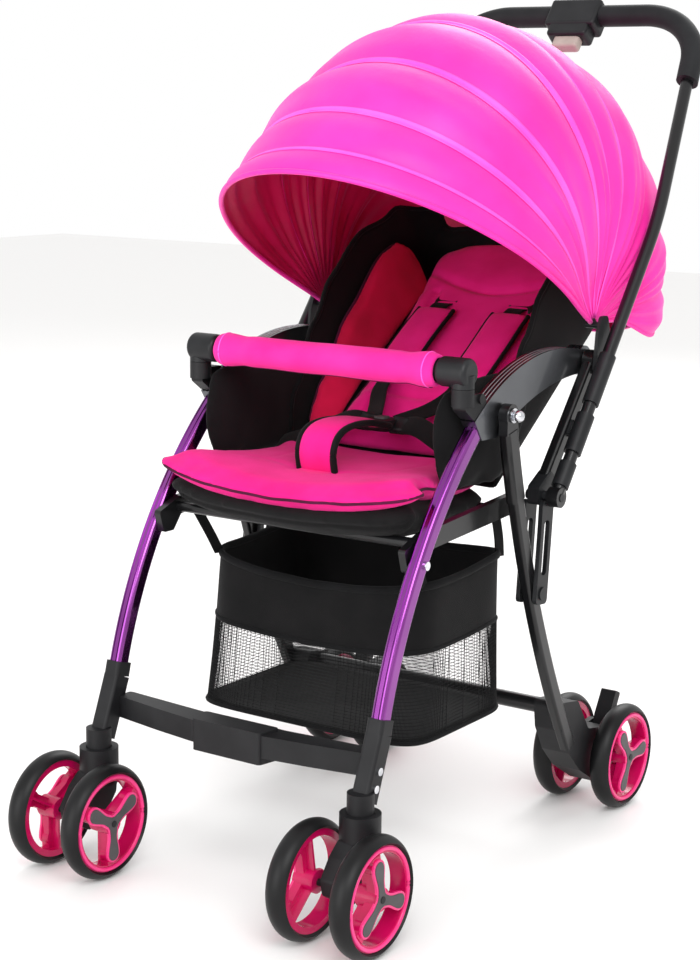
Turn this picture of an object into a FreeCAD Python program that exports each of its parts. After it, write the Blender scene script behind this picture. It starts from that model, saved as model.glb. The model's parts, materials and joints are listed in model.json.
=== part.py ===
import FreeCAD, Part

import math
import os

# Light baby stroller with a reversible handle, twin swivel wheels in front, a folding canopy and a basket.
# Millimetres, +Z up, the child faces -Y and the child's left is +X. Places are (y, z) pairs measured from the
# middle of the wheelbase, and put() then moves every piece so that the origin is under the outline's middle.

V = FreeCAD.Vector
UP = V(0, 0, 1)
SIDE = V(1, 0, 0)
RUN = 0.05                    # radial clearance of a running fit
GAP = 0.5                     # room between neighbours on different bodies

# ---- driving dimensions ----
centre_y = 98.5               # middle of the outline along Y
wheelbase = 574.0
track = 374.0                 # between the middles of the twin wheels
twin_spacing = 82.0
wheel_radius = 67.5
tyre_width = 27.0
rim_radius = 57.5             # the tyre's seat
axle_radius = 4.0
front_x = 187.0               # plane of the front tubes and the armrests
front_tube_width = 17.0
front_tube_depth = 20.0
rear_x = 205.0                # plane of the rear legs and the back tubes
rear_tube_width = 14.0
rear_tube_depth = 20.0
handle_x = 228.0              # plane of the handle's arms
handle_radius = 8.0
handle_lean = math.radians(37.5)
back_lean = math.radians(54.0)
canopy_wall = 3.0
canopy_step = 3.6             # from one canopy panel to the next one outside it

# ---- places in side view (y, z) ----
tube_top = (-29.0, 532.0)
tube_middle = (-155.0, 376.0)
tube_foot = (-217.0, 220.0)
leg_foot = (-244.0, 151.0)
swivel_y = -250.0
front_axle = (-wheelbase / 2, wheel_radius)
rear_axle = (wheelbase / 2, wheel_radius)
rear_leg_pivot = (12.0, 543.0)
rear_leg_middle = (65.0, 350.0)
rear_leg_foot = (182.0, 105.0)
upright_pivot = (212.0, 586.0)
handle_pivot = (90.0, 438.0)
link_pivot = (80.0, 322.0)
canopy_pivot = (222.0, 628.0)
seat_hinge = (84.0, 446.0)
bumper_place = (-58.0, 597.0)
brake_pivot = (300.0, 96.0)


# ---- helpers ----
def side_face(points, x):
    """Flat face at x from a closed outline of (y, z) points."""
    corners = [V(x, y, z) for y, z in points]
    return Part.Face(Part.makePolygon([*corners, corners[0]]))


def rounded(shape, radius, chosen=lambda edge: True):
    """The shape with its chosen edges rounded."""
    return shape.makeFillet(radius, [edge for edge in shape.Edges if chosen(edge)])


def along(edge, direction):
    """Whether a straight edge runs along a direction."""
    straight = isinstance(edge.Curve, Part.Line)
    return straight and abs(edge.tangentAt(edge.FirstParameter).dot(direction)) > 0.99


def side_plate(points, x_low, x_high, corner=0.0):
    """Plate with a side-view outline, between two X planes, with rounded corners."""
    plate = side_face(points, x_low).extrude(V(x_high - x_low, 0, 0))
    return rounded(plate, corner, lambda edge: along(edge, SIDE)) if corner else plate


def plan_plate(points, z_low, z_high, corner=0.0):
    """Plate with a plan outline of (x, y) points, between two heights, with rounded corners."""
    corners = [V(x, y, z_low) for x, y in points]
    plate = Part.Face(Part.makePolygon([*corners, corners[0]])).extrude(V(0, 0, z_high - z_low))
    return rounded(plate, corner, lambda edge: along(edge, UP)) if corner else plate


def cushion(x, y, z, corner):
    """Box between (low, high) limits along each axis, with every edge rounded."""
    block = Part.makeBox(x[1] - x[0], y[1] - y[0], z[1] - z[0], V(x[0], y[0], z[0]))
    return rounded(block, corner)


def pin(place, x_low, x_high, radius):
    """Cylinder along X at a side-view place."""
    return Part.makeCylinder(radius, x_high - x_low, V(x_low, *place), SIDE)


def section(width, depth, corner):
    """Rounded rectangle in the XY plane, centred, as the end of a tube that points up."""
    block = Part.makeBox(width, depth, 10, V(-width / 2, -depth / 2, 0))
    block = rounded(block, corner, lambda edge: along(edge, UP))
    return [f for f in block.Faces if f.BoundBox.ZMax < 0.001][0]


def bar(start, end, face, x):
    """Straight bar in the side plane at x, from start to end."""
    run = V(0, end[0] - start[0], end[1] - start[1])
    face = face.copy()
    face.rotate(V(0, 0, 0), SIDE, math.degrees(math.atan2(-run.y, run.z)))
    face.translate(V(x, *start))
    return face.extrude(run)


def circle_through(a, b, c):
    """Centre of the circle through three side-view points."""
    d = 2 * (a[0] * (b[1] - c[1]) + b[0] * (c[1] - a[1]) + c[0] * (a[1] - b[1]))
    squares = [p[0] ** 2 + p[1] ** 2 for p in (a, b, c)]
    y = squares[0] * (b[1] - c[1]) + squares[1] * (c[1] - a[1]) + squares[2] * (a[1] - b[1])
    z = squares[0] * (c[0] - b[0]) + squares[1] * (a[0] - c[0]) + squares[2] * (b[0] - a[0])
    return y / d, z / d


def bent_bar(start, middle, end, face, x):
    """Bar bent along the circle through three side-view points."""
    centre = circle_through(start, middle, end)
    first = math.degrees(math.atan2(start[1] - centre[1], start[0] - centre[0]))
    last = math.degrees(math.atan2(end[1] - centre[1], end[0] - centre[0]))
    turn = (last - first + 180) % 360 - 180
    face = face.copy()
    face.rotate(V(0, 0, 0), SIDE, first)
    face.translate(V(x, *start))
    return face.revolve(V(0, *centre), SIDE, turn)


def on_arc(start, middle, end, share):
    """Side-view point at a share of the way along the circle through three points."""
    centre = circle_through(start, middle, end)
    first = math.atan2(start[1] - centre[1], start[0] - centre[0])
    last = math.atan2(end[1] - centre[1], end[0] - centre[0])
    turn = (last - first + math.pi) % (2 * math.pi) - math.pi
    radius = math.hypot(start[0] - centre[0], start[1] - centre[1])
    angle = first + turn * share
    return centre[0] + radius * math.cos(angle), centre[1] + radius * math.sin(angle)


def round_path(points, radii):
    """Wire of straight runs joined by tangent arcs; radii has one value for each inner point."""
    edges = []
    last = points[0]
    for before, corner, after, radius in zip(points, points[1:], points[2:], radii):
        into = (before - corner).normalize()
        out = (after - corner).normalize()
        half = into.getAngle(out) / 2
        start = corner + into * (radius / math.tan(half))
        end = corner + out * (radius / math.tan(half))
        middle = corner + (into + out).normalize() * (radius / math.sin(half) - radius)
        edges.append(Part.LineSegment(last, start).toShape())
        edges.append(Part.Arc(start, middle, end).toShape())
        last = end
    edges.append(Part.LineSegment(last, points[-1]).toShape())
    return Part.Wire(edges)


def tube(points, radii, radius):
    """Round bar along straight runs joined by tangent arcs."""
    path = round_path(points, radii)
    start = points[0]
    circle = Part.Wire(Part.makeCircle(radius, start, points[1] - points[0]))
    return path.makePipeShell([circle], True, False)


def mirror(shape):
    return shape.mirror(V(0, 0, 0), SIDE)


def both(*shapes):
    """Pieces of the left side together with their mirror images."""
    return Part.makeCompound([s for shape in shapes for s in (shape, mirror(shape))])


def put(name, shape):
    """Writes a finished piece as a node, in the final frame."""
    shape = shape.copy()
    shape.translate(V(0, -centre_y, 0))
    os.makedirs("parts", exist_ok=True)
    shape.exportStep(f"parts/{name}.step")


def put_sides(name, shape):
    """Writes a piece of the left side and its mirror image as two nodes."""
    put(f"{name}_left", shape)
    put(f"{name}_right", mirror(shape))


# ---- front frame ----
lower_leg_width = 22.0
lower_leg_depth = 25.0
foot_radius = 15.0
foot_bottom = 116.0
swivel_radius = 5.0
tube_section = section(front_tube_width, front_tube_depth, 5.0)


def front_tube():
    """Oval tube with a pair of grooves along its front and its back."""
    face = tube_section
    for x in (-3.2, 3.2):
        for y in (-front_tube_depth / 2, front_tube_depth / 2):
            face = face.cut(Part.makePlane(2.0, 2.0, V(x - 1.0, y - 1.0, 0)))
    return bent_bar(tube_top, tube_middle, tube_foot, face, front_x)


def lower_leg():
    """Socket that carries the tube, and the round foot that the caster turns in."""
    leg = bar(tube_foot, leg_foot, section(lower_leg_width, lower_leg_depth, 4.0), front_x)
    collar_start = on_arc(tube_top, tube_middle, tube_foot, 0.955)
    collar_middle = on_arc(tube_top, tube_middle, tube_foot, 0.98)
    collar = bent_bar(collar_start, collar_middle, tube_foot, section(22.0, 25.0, 5.0), front_x)
    collar = collar.cut(bent_bar(collar_start, collar_middle, tube_foot, tube_section, front_x))
    foot = Part.makeCylinder(foot_radius, 48.0, V(front_x, swivel_y, foot_bottom), UP)
    bore = Part.makeCylinder(swivel_radius + RUN, 38.0, V(front_x, swivel_y, foot_bottom), UP)
    tube_space = bent_bar(tube_top, tube_middle, tube_foot, tube_section, front_x)
    return leg.fuse([collar, foot]).cut(bore).cut(tube_space)


left_leg = lower_leg()
put("front_leg_tubes", both(front_tube()))
put("lower_legs", both(left_leg))

crossbar_y = -214.0
crossbar_low = 172.0
crossbar_high = 198.0


def front_crossbar():
    """Moulded bar between the lower legs, bowed forward, with a deeper middle."""
    end_x = front_x - lower_leg_width / 2 + 3
    ahead = [(-end_x, -10), (-110, -22), (-52, -30), (52, -30), (110, -22), (end_x, -10)]
    outline = [(x, crossbar_y + y) for x, y in [*ahead, (end_x, 12), (60, 2), (-60, 2), (-end_x, 12)]]
    shape = plan_plate(outline, crossbar_low, crossbar_high, 4.0)
    middle = [(-48, -33), (48, -33), (54, -2), (-54, -2)]
    block = plan_plate([(x, crossbar_y + y) for x, y in middle], crossbar_low - 8, crossbar_high + 3, 5.0)
    return shape.fuse(block).cut(both(left_leg))


put("front_crossbar", front_crossbar())

armrest_width = 19.0


def armrest():
    """Curved arm: its front end takes the top of the front tube, its rear end the back tube's pivot."""
    low = front_x - armrest_width / 2
    high = front_x + armrest_width / 2
    rear = (upright_pivot[0] + 15.0, upright_pivot[1])
    corners = [(-46.0, 541.0), (40.0, 589.0), (198.0, 600.0), rear, (198.0, 571.0), (90.0, 555.0),
               (2.0, 517.0), (-30.0, 518.0)]
    top_front, top_middle, top_rear, end, low_rear, low_middle, low_front, toe = [V(low, *c) for c in corners]
    outline = [
        Part.Arc(top_front, top_middle, top_rear).toShape(),
        Part.Arc(top_rear, end, low_rear).toShape(),
        Part.Arc(low_rear, low_middle, low_front).toShape(),
        Part.LineSegment(low_front, toe).toShape(),
        Part.LineSegment(toe, top_front).toShape(),
    ]
    arm = Part.Face(Part.Wire(outline)).extrude(V(armrest_width, 0, 0))
    centre = circle_through(*corners[:3])
    radius = math.hypot(corners[0][0] - centre[0], corners[0][1] - centre[1])
    for x in (-5.0, 0.0, 5.0):
        groove = pin(centre, front_x + x - 0.8, front_x + x + 0.8, radius + 5)
        arm = arm.cut(groove.cut(pin(centre, front_x + x - 0.8, front_x + x + 0.8, radius - 1.2)))
    arm = arm.cut(pin(upright_pivot, low - 1, high + 1, 4.0 + RUN))
    arm = arm.cut(pin(rear_leg_pivot, low - 1, high + 1, 4.0))
    return arm.cut(bent_bar(tube_top, tube_middle, tube_foot, tube_section, front_x))


put("armrests", both(armrest()))

seat_bolt = (-142.0, 394.0)
rail_x = 169.0                # inner face of the seat's rails


def frame_bolts():
    """Pivot bolts of the rear legs, with ball heads outside, and the bolts of the seat and the legs."""
    washer = pin(rear_leg_pivot, 212.2, 214.0, 8.5)
    ball = Part.makeSphere(7.0, V(219.3, *rear_leg_pivot))
    pivot = pin(rear_leg_pivot, 178.0, 216.0, 4.0).fuse([washer, ball])
    rivets = [pin(place, 198.0, 200.0, 4.5) for place in ((-231.0, 184.0), (-238.0, 166.0))]
    seat = pin(seat_bolt, front_x + front_tube_width / 2, front_x + front_tube_width / 2 + 3, 5.0)
    return both(pivot, seat, *rivets).cut(both(left_leg))


put("frame_bolts", frame_bolts())


def seat_rails():
    """Side rails bolted to the front tubes, joined by a front and a rear cross tube."""
    rail = side_plate([(-158, 410), (-150, 384), (-132, 384), (-118, 402), (76, 414), (92, 424), (92, 438),
                       (72, 438), (-120, 424)], rail_x, rail_x + 9, 4.0)
    rail = rail.cut(pin(seat_hinge, rail_x - 1, rail_x + 10, 5.0 + RUN))
    rods = [pin(place, -rail_x - 2, rail_x + 2, 6.0) for place in ((-120.0, 411.0), (56.0, 421.0))]
    return rail.fuse([mirror(rail), *rods])


put("seat_rails", seat_rails())

# ---- seat ----
seat_half = 158.0
seat_pan = side_plate([(-168, 436), (-160, 428), (-40, 427), (66, 431), (66, 437), (-40, 434), (-150, 441)],
                      -seat_half, seat_half)
put("seat_pan", seat_pan)
seat_pad = side_plate([(-176, 446), (-160, 442), (-40, 435), (60, 438), (60, 468), (-40, 462), (-140, 474),
                       (-168, 470)], -seat_half, seat_half, 4.0)
flap_corner = plan_plate([(150, -170), (172, -168), (183, -152), (183, -124), (150, -114)], 461, 473)
put("seat_pad", seat_pad.fuse([flap_corner, mirror(flap_corner)]))
side_wall = side_plate([(-96, 534), (-58, 486), (56, 446), (88, 478), (128, 561), (40, 536), (0, 514),
                        (-30, 516)], 162.5, 166.5)
put("side_panels", both(side_wall))


crotch_pad = side_plate([(-80, 470), (-66, 470), (-66, 490), (-56, 504), (-36, 511), (0, 511), (41, 503),
                         (41, 512), (0, 522), (-44, 522), (-66, 514), (-79, 496)], -24.0, 24.0)
put("crotch_pad", crotch_pad)
buckle = cushion((-21, 21), (42, 80), (499, 513), 4.0)
put("harness_buckle", buckle)
waist = side_plate([(46, 506), (62, 506), (60, 472), (56, 472), (58, 503), (46, 503)], 26.0, 46.0)
put("waist_straps", both(waist.fuse(side_plate([(46, 472), (46, 475), (60, 475), (60, 472)], 26.0, 156.0))))

# ---- bumper ----
bumper_radius = 18.5
cap_radius = 17.0
knuckle_radius = 13.0
post_top = 579.0


def bumper_sockets():
    """Posts at the front ends of the armrests that carry the bumper's knuckles."""
    foot = side_plate([(-46, 542), (-18, 560), (-30, 572), (-62, 572), (-66, 556)], 178.5, 195.5, 4.0)
    post = Part.makeCylinder(knuckle_radius, 20.0, V(front_x, bumper_place[0], post_top - 20.0), UP)
    button = pin((-34.0, 566.0), 195.0, 198.5, 6.0)
    return foot.fuse([post, button]).cut(armrest())


sockets = bumper_sockets()
swing_pin = Part.makeCylinder(5.0, 20.0, V(-front_x, bumper_place[0], post_top), UP)
put("bumper_sockets", Part.makeCompound([sockets, mirror(sockets).fuse(swing_pin)]))


def bumper_bar():
    """Cross bar with round end caps that stand on the posts; it swings forward about the right one."""
    core = pin(bumper_place, -front_x, front_x, 12.0)
    cap = rounded(pin(bumper_place, 157, 198, cap_radius), 6.0)
    knuckles = [Part.makeCylinder(knuckle_radius, 15.0, V(x, bumper_place[0], post_top + GAP), UP)
                for x in (-front_x, front_x)]
    bore = Part.makeCylinder(5.0 + RUN, 27.0, V(-front_x, bumper_place[0], post_top - 5), UP)
    return core.fuse([cap, mirror(cap)] + knuckles).cut(bore)


put("bumper_bar", bumper_bar())
cover = rounded(pin(bumper_place, -156, 156, bumper_radius), 4.0).cut(pin(bumper_place, -160, 160, 12.0))
put("bumper_cover", cover)

# ---- basket ----
basket_wall = 3.0


def basket():
    """Open basket, deeper behind, with a solid rim band; the inside is open at the top."""
    outer = [(-84, 345), (112, 360), (118, 174), (104, 158), (-100, 160), (-112, 174)]
    inner = [(-81, 400), (109, 400), (115, 175), (102.8, 161.1), (-98.6, 163.1), (-108.9, 175.2)]
    shell = side_plate(outer, -160, 160)
    return shell.cut(side_plate(inner, -160 + basket_wall, 160 - basket_wall))


put("basket", basket())

# ---- back frame: back tubes, brackets, blocks ----
upright_section = section(rear_tube_width, rear_tube_depth, 4.0)
upright = bar(handle_pivot, upright_pivot, upright_section, rear_x)
upright = upright.fuse(pin(upright_pivot, rear_x - 7, rear_x + 7, 13.0))
bore_a = pin(upright_pivot, 170, 230, 4.0)
block_outline = [(76, 428), (104, 428), (122, 452), (104, 466), (76, 450)]
block = side_plate(block_outline, 197.5, 212.5, 5.0)
put("back_tubes", both(upright.cut(block).cut(bore_a)))


bracket_face = 216.0          # outer face of the brackets, inside the handle's arms


def pivot_brackets():
    """Plates that rise from the armrest pivot to the canopy's axle, with the bolts of both."""
    outline = [(200, 570), (224, 570), (236, 622), (230, 640), (214, 640), (206, 622)]
    plate = side_plate(outline, 212, bracket_face, 6.0)
    plate = plate.cut(pin(upright_pivot, 200, 230, 4.0))
    bolt = pin(upright_pivot, 176.0, bracket_face + 0.6, 4.0)
    axle = pin(canopy_pivot, 190.5, 213.0, 4.0)
    stud = side_plate([(140, 506), (152, 522), (160, 516), (148, 500)], 212, bracket_face, 2.0)
    return both(plate.fuse([bolt, axle]), stud)


put("pivot_brackets", pivot_brackets())

handle_bolt_radius = 5.0
catch_pin_radius = 6.0


def pivot_blocks():
    """Blocks at the foot of the back tubes, with the handle's bolt outside and the catch's pin through."""
    catch_pin = pin(handle_pivot, 190.0, 219.0, catch_pin_radius)
    return both(block.fuse([catch_pin, pin(handle_pivot, 212.5, 236.5, handle_bolt_radius)]))


put("pivot_blocks", pivot_blocks())

# ---- reversible handle ----
handle_length = 721.0


def on_handle(x, along_arm):
    """Point of the handle's plane, which leans back about the handle's pivots."""
    return V(x, handle_pivot[0] + along_arm * math.sin(handle_lean),
             handle_pivot[1] + along_arm * math.cos(handle_lean))


handle_shoulder = 395.0
handle_top_x = 183.0
handle_route = [
    on_handle(handle_x, 0), on_handle(handle_x, handle_shoulder), on_handle(handle_top_x, handle_length),
    on_handle(-handle_top_x, handle_length), on_handle(-handle_x, handle_shoulder), on_handle(-handle_x, 0),
]
handle_bends = [600.0, 92.0, 92.0, 600.0]
grip_start = 610.0
grip_radius = 14.5
housing_half = 38.0


def handle_limits(start, end):
    """Block that holds the part of the handle between two distances along its arms."""
    block = Part.makeBox(600, 100, end - start, V(-300, -50, start))
    block.rotate(V(0, 0, 0), SIDE, -math.degrees(handle_lean))
    block.translate(V(0, *handle_pivot))
    return block


handle_core = tube(handle_route, handle_bends, handle_radius)
handle_foot = pin(handle_pivot, handle_x - 7.5, handle_x + 7.5, 12.0)
foot_bore = pin(handle_pivot, 215, 240, handle_bolt_radius + RUN)
put("handle_tube", handle_core.fuse([handle_foot, mirror(handle_foot)]).cut(both(foot_bore)))

grip = tube(handle_route, handle_bends, grip_radius).common(handle_limits(grip_start, 760))
housing_zone = Part.makeBox(2 * housing_half, 200, 200, V(-housing_half, 430, 900))
put("handle_grip", grip.cut(handle_core).cut(housing_zone))


def handle_block(x, along_arm, depth):
    """Rounded box in the handle's plane: x, distance along the arms and depth, each (low, high)."""
    box = cushion(x, depth, along_arm, 5.0)
    box.rotate(V(0, 0, 0), SIDE, -math.degrees(handle_lean))
    box.translate(V(0, *handle_pivot))
    return box


button_travel = 6.0
housing = handle_block((-housing_half, housing_half), (696, 739), (-17, 17))
housing = housing.fuse(handle_block((-30, 30), (680, 720), (-15, 15)))
button_slot = handle_block((-20, 20), (660, 692 + button_travel), (-9, 9))
put("button_housing", housing.cut(button_slot).cut(handle_core))
button = handle_block((-19.5, 19.5), (664, 691.5), (-8.5, 8.5))
put("fold_button", button)


def arm_sleeve(start, end, radius, bore):
    """Sleeve round the left arm of the handle between two distances along it."""
    low, high = on_handle(handle_x, start), on_handle(handle_x, end)
    axis = high - low
    return Part.makeCylinder(radius, axis.Length, low, axis).cut(
        Part.makeCylinder(bore, axis.Length, low, axis))


sleeve = arm_sleeve(128, 196, 10.4, handle_radius).fuse(arm_sleeve(14, 46, 10.4, handle_radius))
put("handle_sleeves", both(sleeve))
put("handle_locks", both(arm_sleeve(60, 112, 10.8, handle_radius + RUN)))

# ---- canopy: panels nested so that they slide past one another as it folds ----
seam_angles = (62.0, 30.0, 11.0, -15.0)      # from upright towards the front, at the panels' edges
canopy_names = ("canopy_panel_front", "canopy_panel_middle", "canopy_panel_rear", "canopy_skirt")
canopy_half = 208.0
front_reach = 402.0           # from the pivots to the front rim
roof_reach = 358.0
panel_reach = (front_reach, roof_reach + 6, roof_reach + 2)
skirt_bows = ((-15.0, 345.0), (-45.0, 335.0), (-72.0, 300.0), (-97.0, 258.0))
straight_side = 130.0


def bow_wire(half_width, reach, angle=0.0, foot=12.0):
    """Outline of a bow about the axle: straight sides, half an ellipse, and a line across at its foot."""
    top = reach - straight_side
    middle = V(0, 0, straight_side)
    low, high = V(half_width, 0, foot), V(half_width, 0, straight_side)
    if top > half_width:
        ellipse = Part.Ellipse(V(0, 0, reach), high, middle)
    else:
        ellipse = Part.Ellipse(high, V(0, 0, reach), middle)
    quarter = [ellipse.parameter(p) for p in (high, V(0, 0, reach), V(-half_width, 0, straight_side))]
    start, end = min(quarter[0], quarter[2]), max(quarter[0], quarter[2])
    if not start < quarter[1] < end:
        start, end = end, start + 2 * math.pi
    edges = [
        Part.LineSegment(low, high).toShape(),
        Part.ArcOfEllipse(ellipse, start, end).toShape(),
        Part.LineSegment(V(-half_width, 0, straight_side), V(-half_width, 0, foot)).toShape(),
        Part.LineSegment(V(-half_width, 0, foot), low).toShape(),
    ]
    wire = Part.Wire(edges)
    wire.rotate(V(0, 0, 0), SIDE, angle)
    return wire


def canopy_panel(half_width, reach, front, rear):
    """Shell between two bow planes, from the U turned about the axle."""
    outer = Part.Face(bow_wire(half_width, reach))
    inner = Part.Face(bow_wire(half_width - canopy_wall, reach - canopy_wall, 0.0, 8.0))
    shell = outer.cut(inner).revolve(V(0, 0, 0), SIDE, front - rear)
    shell.rotate(V(0, 0, 0), SIDE, rear)
    return shell


def skirt_panel(half_width):
    """Shell behind the backrest, drawn in towards its hem."""
    outer = [bow_wire(half_width, reach, angle) for angle, reach in skirt_bows]
    solid = Part.makeLoft(outer, True, True)
    angles = [skirt_bows[0][0] + 0.3, *[bow[0] for bow in skirt_bows[1:-1]], skirt_bows[-1][0] - 0.3]
    inner = [bow_wire(half_width - canopy_wall, bow[1] - canopy_wall, angle, 8.0)
             for angle, bow in zip(angles, skirt_bows)]
    return solid.cut(Part.makeLoft(inner, True, True))


def canopy_sector(index):
    """One panel in its place, with its hub discs on the axle."""
    half_width = canopy_half - index * canopy_step
    hub_radius = 16.0
    if index < 3:
        reach = panel_reach[index] - index * canopy_step
        panel = canopy_panel(half_width, reach, seam_angles[index], seam_angles[index + 1])
        bore = 4.0 + RUN
    else:
        panel = skirt_panel(half_width)
        bore = 4.0
    hub = Part.makeCylinder(hub_radius, canopy_wall, V(half_width - canopy_wall, 0, 0), SIDE)
    panel = panel.fuse([hub, mirror(hub)])
    panel = panel.cut(Part.makeCylinder(bore, 500, V(-250, 0, 0), SIDE))
    panel.translate(V(0, *canopy_pivot))
    return panel


for number, name in enumerate(canopy_names):
    put(name, canopy_sector(number))

# ---- backrest: shell, pad and harness, leaning back about the rear edge of the seat ----
back_half = 148.0


def on_back(along_back, forward):
    """Side-view point in the backrest's frame: up from the hinge, and forward of its middle plane."""
    return (seat_hinge[0] + along_back * math.sin(back_lean) - forward * math.cos(back_lean),
            seat_hinge[1] + along_back * math.cos(back_lean) + forward * math.sin(back_lean))


def back_plate(points, half_width, corner=0.0, x_low=None):
    """Plate whose outline is given up and forward in the backrest's frame."""
    low = -half_width if x_low is None else x_low
    return side_plate([on_back(*point) for point in points], low, half_width, corner)


shell = back_plate([(-8, -6), (-8, 2), (400, 4), (400, -8), (300, -8)], back_half)
hinge_tube = pin(seat_hinge, -rail_x - 6, rail_x + 6, 5.0)
put("backrest_shell", shell.fuse([pin(seat_hinge, -back_half, back_half, 9.0), hinge_tube]))
pad = back_plate([(26, 2.5), (26, 20), (60, 27), (330, 27), (400, 20), (418, 8), (410, -4), (401, -4),
                  (401, 4.3)],
                 back_half - 18)
wing = back_plate([(64, 5), (90, 42), (190, 78), (290, 94), (330, 84), (346, 50), (340, 5)], back_half,
                  x_low=back_half - 20)
put("backrest_pad", pad.cut(shell).fuse([wing, mirror(wing)]))
shoulder_strap = back_plate([(72, 27.3), (72, 30.5), (280, 30.5), (280, 27.3)], 68.0, x_low=44.0)
put("shoulder_straps", both(shoulder_strap))
shoulder_pad = back_plate([(120, 30.8), (120, 42), (236, 42), (236, 30.8)], 81.0, x_low=31.0)
put("shoulder_pads", both(shoulder_pad))

# ---- rear frame: legs, crossbar, hubs with the wheels' axles ----
rear_section = section(rear_tube_width, rear_tube_depth, 4.0)
leg_start = (14.0, 524.0)


def rear_leg():
    """Bent oval tube with a moulded sleeve and a lug at its top."""
    tube_shape = bent_bar(leg_start, rear_leg_middle, rear_leg_foot, rear_section, rear_x)
    sleeve_end = on_arc(leg_start, rear_leg_middle, rear_leg_foot, 0.19)
    sleeve_middle = on_arc(leg_start, rear_leg_middle, rear_leg_foot, 0.09)
    sleeve_shape = bent_bar(leg_start, sleeve_middle, sleeve_end, section(15.0, 25.0, 5.0), rear_x)
    lug = pin(rear_leg_pivot, 200.0, 211.5, 13.0)
    neck = side_plate([(1, 545), (24, 541), (27, 518), (1, 520)], 200.0, 211.5)
    leg = tube_shape.fuse([sleeve_shape, lug, neck])
    return leg.cut(pin(rear_leg_pivot, 190, 230, 4.0 + RUN)).cut(pin(link_pivot, 190, 230, 5.0))


put("rear_legs", both(rear_leg()))
crossbar_place = (180.0, 150.0)
hub_x = track / 2
crossbar_tube = pin(crossbar_place, -hub_x, hub_x, 10.0)


def rear_hub():
    """Casting between the twin wheels: it takes the leg and the crossbar, the axle and the brake's pin."""
    outline = [(150, 168), (196, 160), (226, 116), (286, 104), (308, 106), (312, 88), (306, 62), (292, 48),
               (256, 36), (206, 66), (176, 96), (156, 130)]
    casting = side_plate(outline, hub_x - 14, hub_x + 24.5, 8.0)
    casting = casting.cut(bent_bar(leg_start, rear_leg_middle, rear_leg_foot, rear_section, rear_x))
    casting = casting.cut(pin(crossbar_place, -200, 200, 10.0))
    slot = Part.makeBox(22.8, 60, 80, V(hub_x - 6.4, 282, 82))
    axle = pin(rear_axle, hub_x - twin_spacing / 2 - 15, hub_x + twin_spacing / 2 + 15, axle_radius)
    brake_pin = pin(brake_pivot, hub_x - 10, hub_x + 20, 3.0)
    return casting.cut(slot).fuse([axle, brake_pin])


put("rear_crossbar", crossbar_tube)
put("rear_hubs", both(rear_hub()))


def brake_pedal():
    """Foot lever between the twin wheels, turning on its own pin above the axle."""
    lever = side_plate([(293, 92), (306, 90), (312, 104), (330, 136), (318, 142), (300, 112)],
                       hub_x - 5.6, hub_x + 15.6, 2.5)
    return lever.cut(pin(brake_pivot, 150, 230, 3.0 + RUN))


put_sides("brake_pedal", brake_pedal())

# ---- fold catch: a looped plate each side of the rear leg, hooked round the pin of the pivot block ----
catch_direction = (handle_pivot[0] - link_pivot[0], handle_pivot[1] - link_pivot[1])
catch_length = math.hypot(*catch_direction)
mouth_gap = 0.6


def on_catch(along_plate, back):
    """Side-view point: distance from the catch's bolt towards the pin, and back from that line."""
    y, z = catch_direction[0] / catch_length, catch_direction[1] / catch_length
    return link_pivot[0] + along_plate * y + back * z, link_pivot[1] + along_plate * z - back * y


def catch_plate(x_low, x_high):
    """Plate with a long slot and an open hook, whose mouth widens up and back."""
    corners = [(-13, -13), (-13, 13), (80, 13), (108, 13), (112, -14), (80, -13)]
    outline = [on_catch(*point) for point in corners]
    plate = side_plate(outline, x_low, x_high, 6.0)
    slot_corners = [on_catch(*point) for point in [(22, -6), (22, 6), (88, 6), (88, -6)]]
    slot = side_plate(slot_corners, x_low - 1, x_high + 1, 5.5)
    inner = catch_pin_radius + mouth_gap
    seat = pin(handle_pivot, x_low - 1, x_high + 1, inner)
    mouth = side_plate([on_catch(catch_length + a, b) for a, b in
                        [(-7.5, 4), (-3.0, 60), (60, 60), (60, -12), (6.5, -4)]], x_low - 1, x_high + 1)
    return plate.cut(slot).cut(seat.fuse(mouth))


def fold_catch():
    """Two plates and the bolt that runs through the rear leg."""
    bolt = pin(link_pivot, 191.0, 219.0, 5.0 - RUN).fuse(pin(link_pivot, 219.0, 221.0, 8.0))
    return bolt.fuse([catch_plate(191.0, 196.5), catch_plate(213.5, 219.0)])


put("fold_catches", both(fold_catch()))

# ---- front casters ----
cup_radius = 23.0
cup_top = 141.0


def caster_fork(x):
    """Swivel cup over the leg's foot, and the fork's body that carries the axle."""
    outline = [(-272, 113), (-232, 113), (-236, 84), (-262, 52), (-284, 50), (-300, 60), (-304, 78),
               (-288, 100)]
    body = side_plate(outline, x - 14, x + 14, 6.0)
    cup = Part.makeCylinder(cup_radius, cup_top - 98, V(x, swivel_y, 98), UP)
    hollow = Part.makeCylinder(foot_radius + GAP, 60, V(x, swivel_y, foot_bottom - GAP), UP)
    stem = Part.makeCylinder(swivel_radius, 50.0, V(x, swivel_y, 100), UP)
    axle = pin(front_axle, x - twin_spacing / 2 - 15, x + twin_spacing / 2 + 15, axle_radius)
    return body.fuse(cup).cut(hollow).fuse([stem, axle])


put("caster_fork_left", caster_fork(hub_x))
put("caster_fork_right", caster_fork(-hub_x))

# ---- wheels ----
hub_radius = 13.0
hub_width = 26.0
ring_radius = 50.0            # inside of the rim
lobe_count = 3
lobe_end = 38.0               # middle of a lobe's round end
lobe_radius = 9.5


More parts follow.
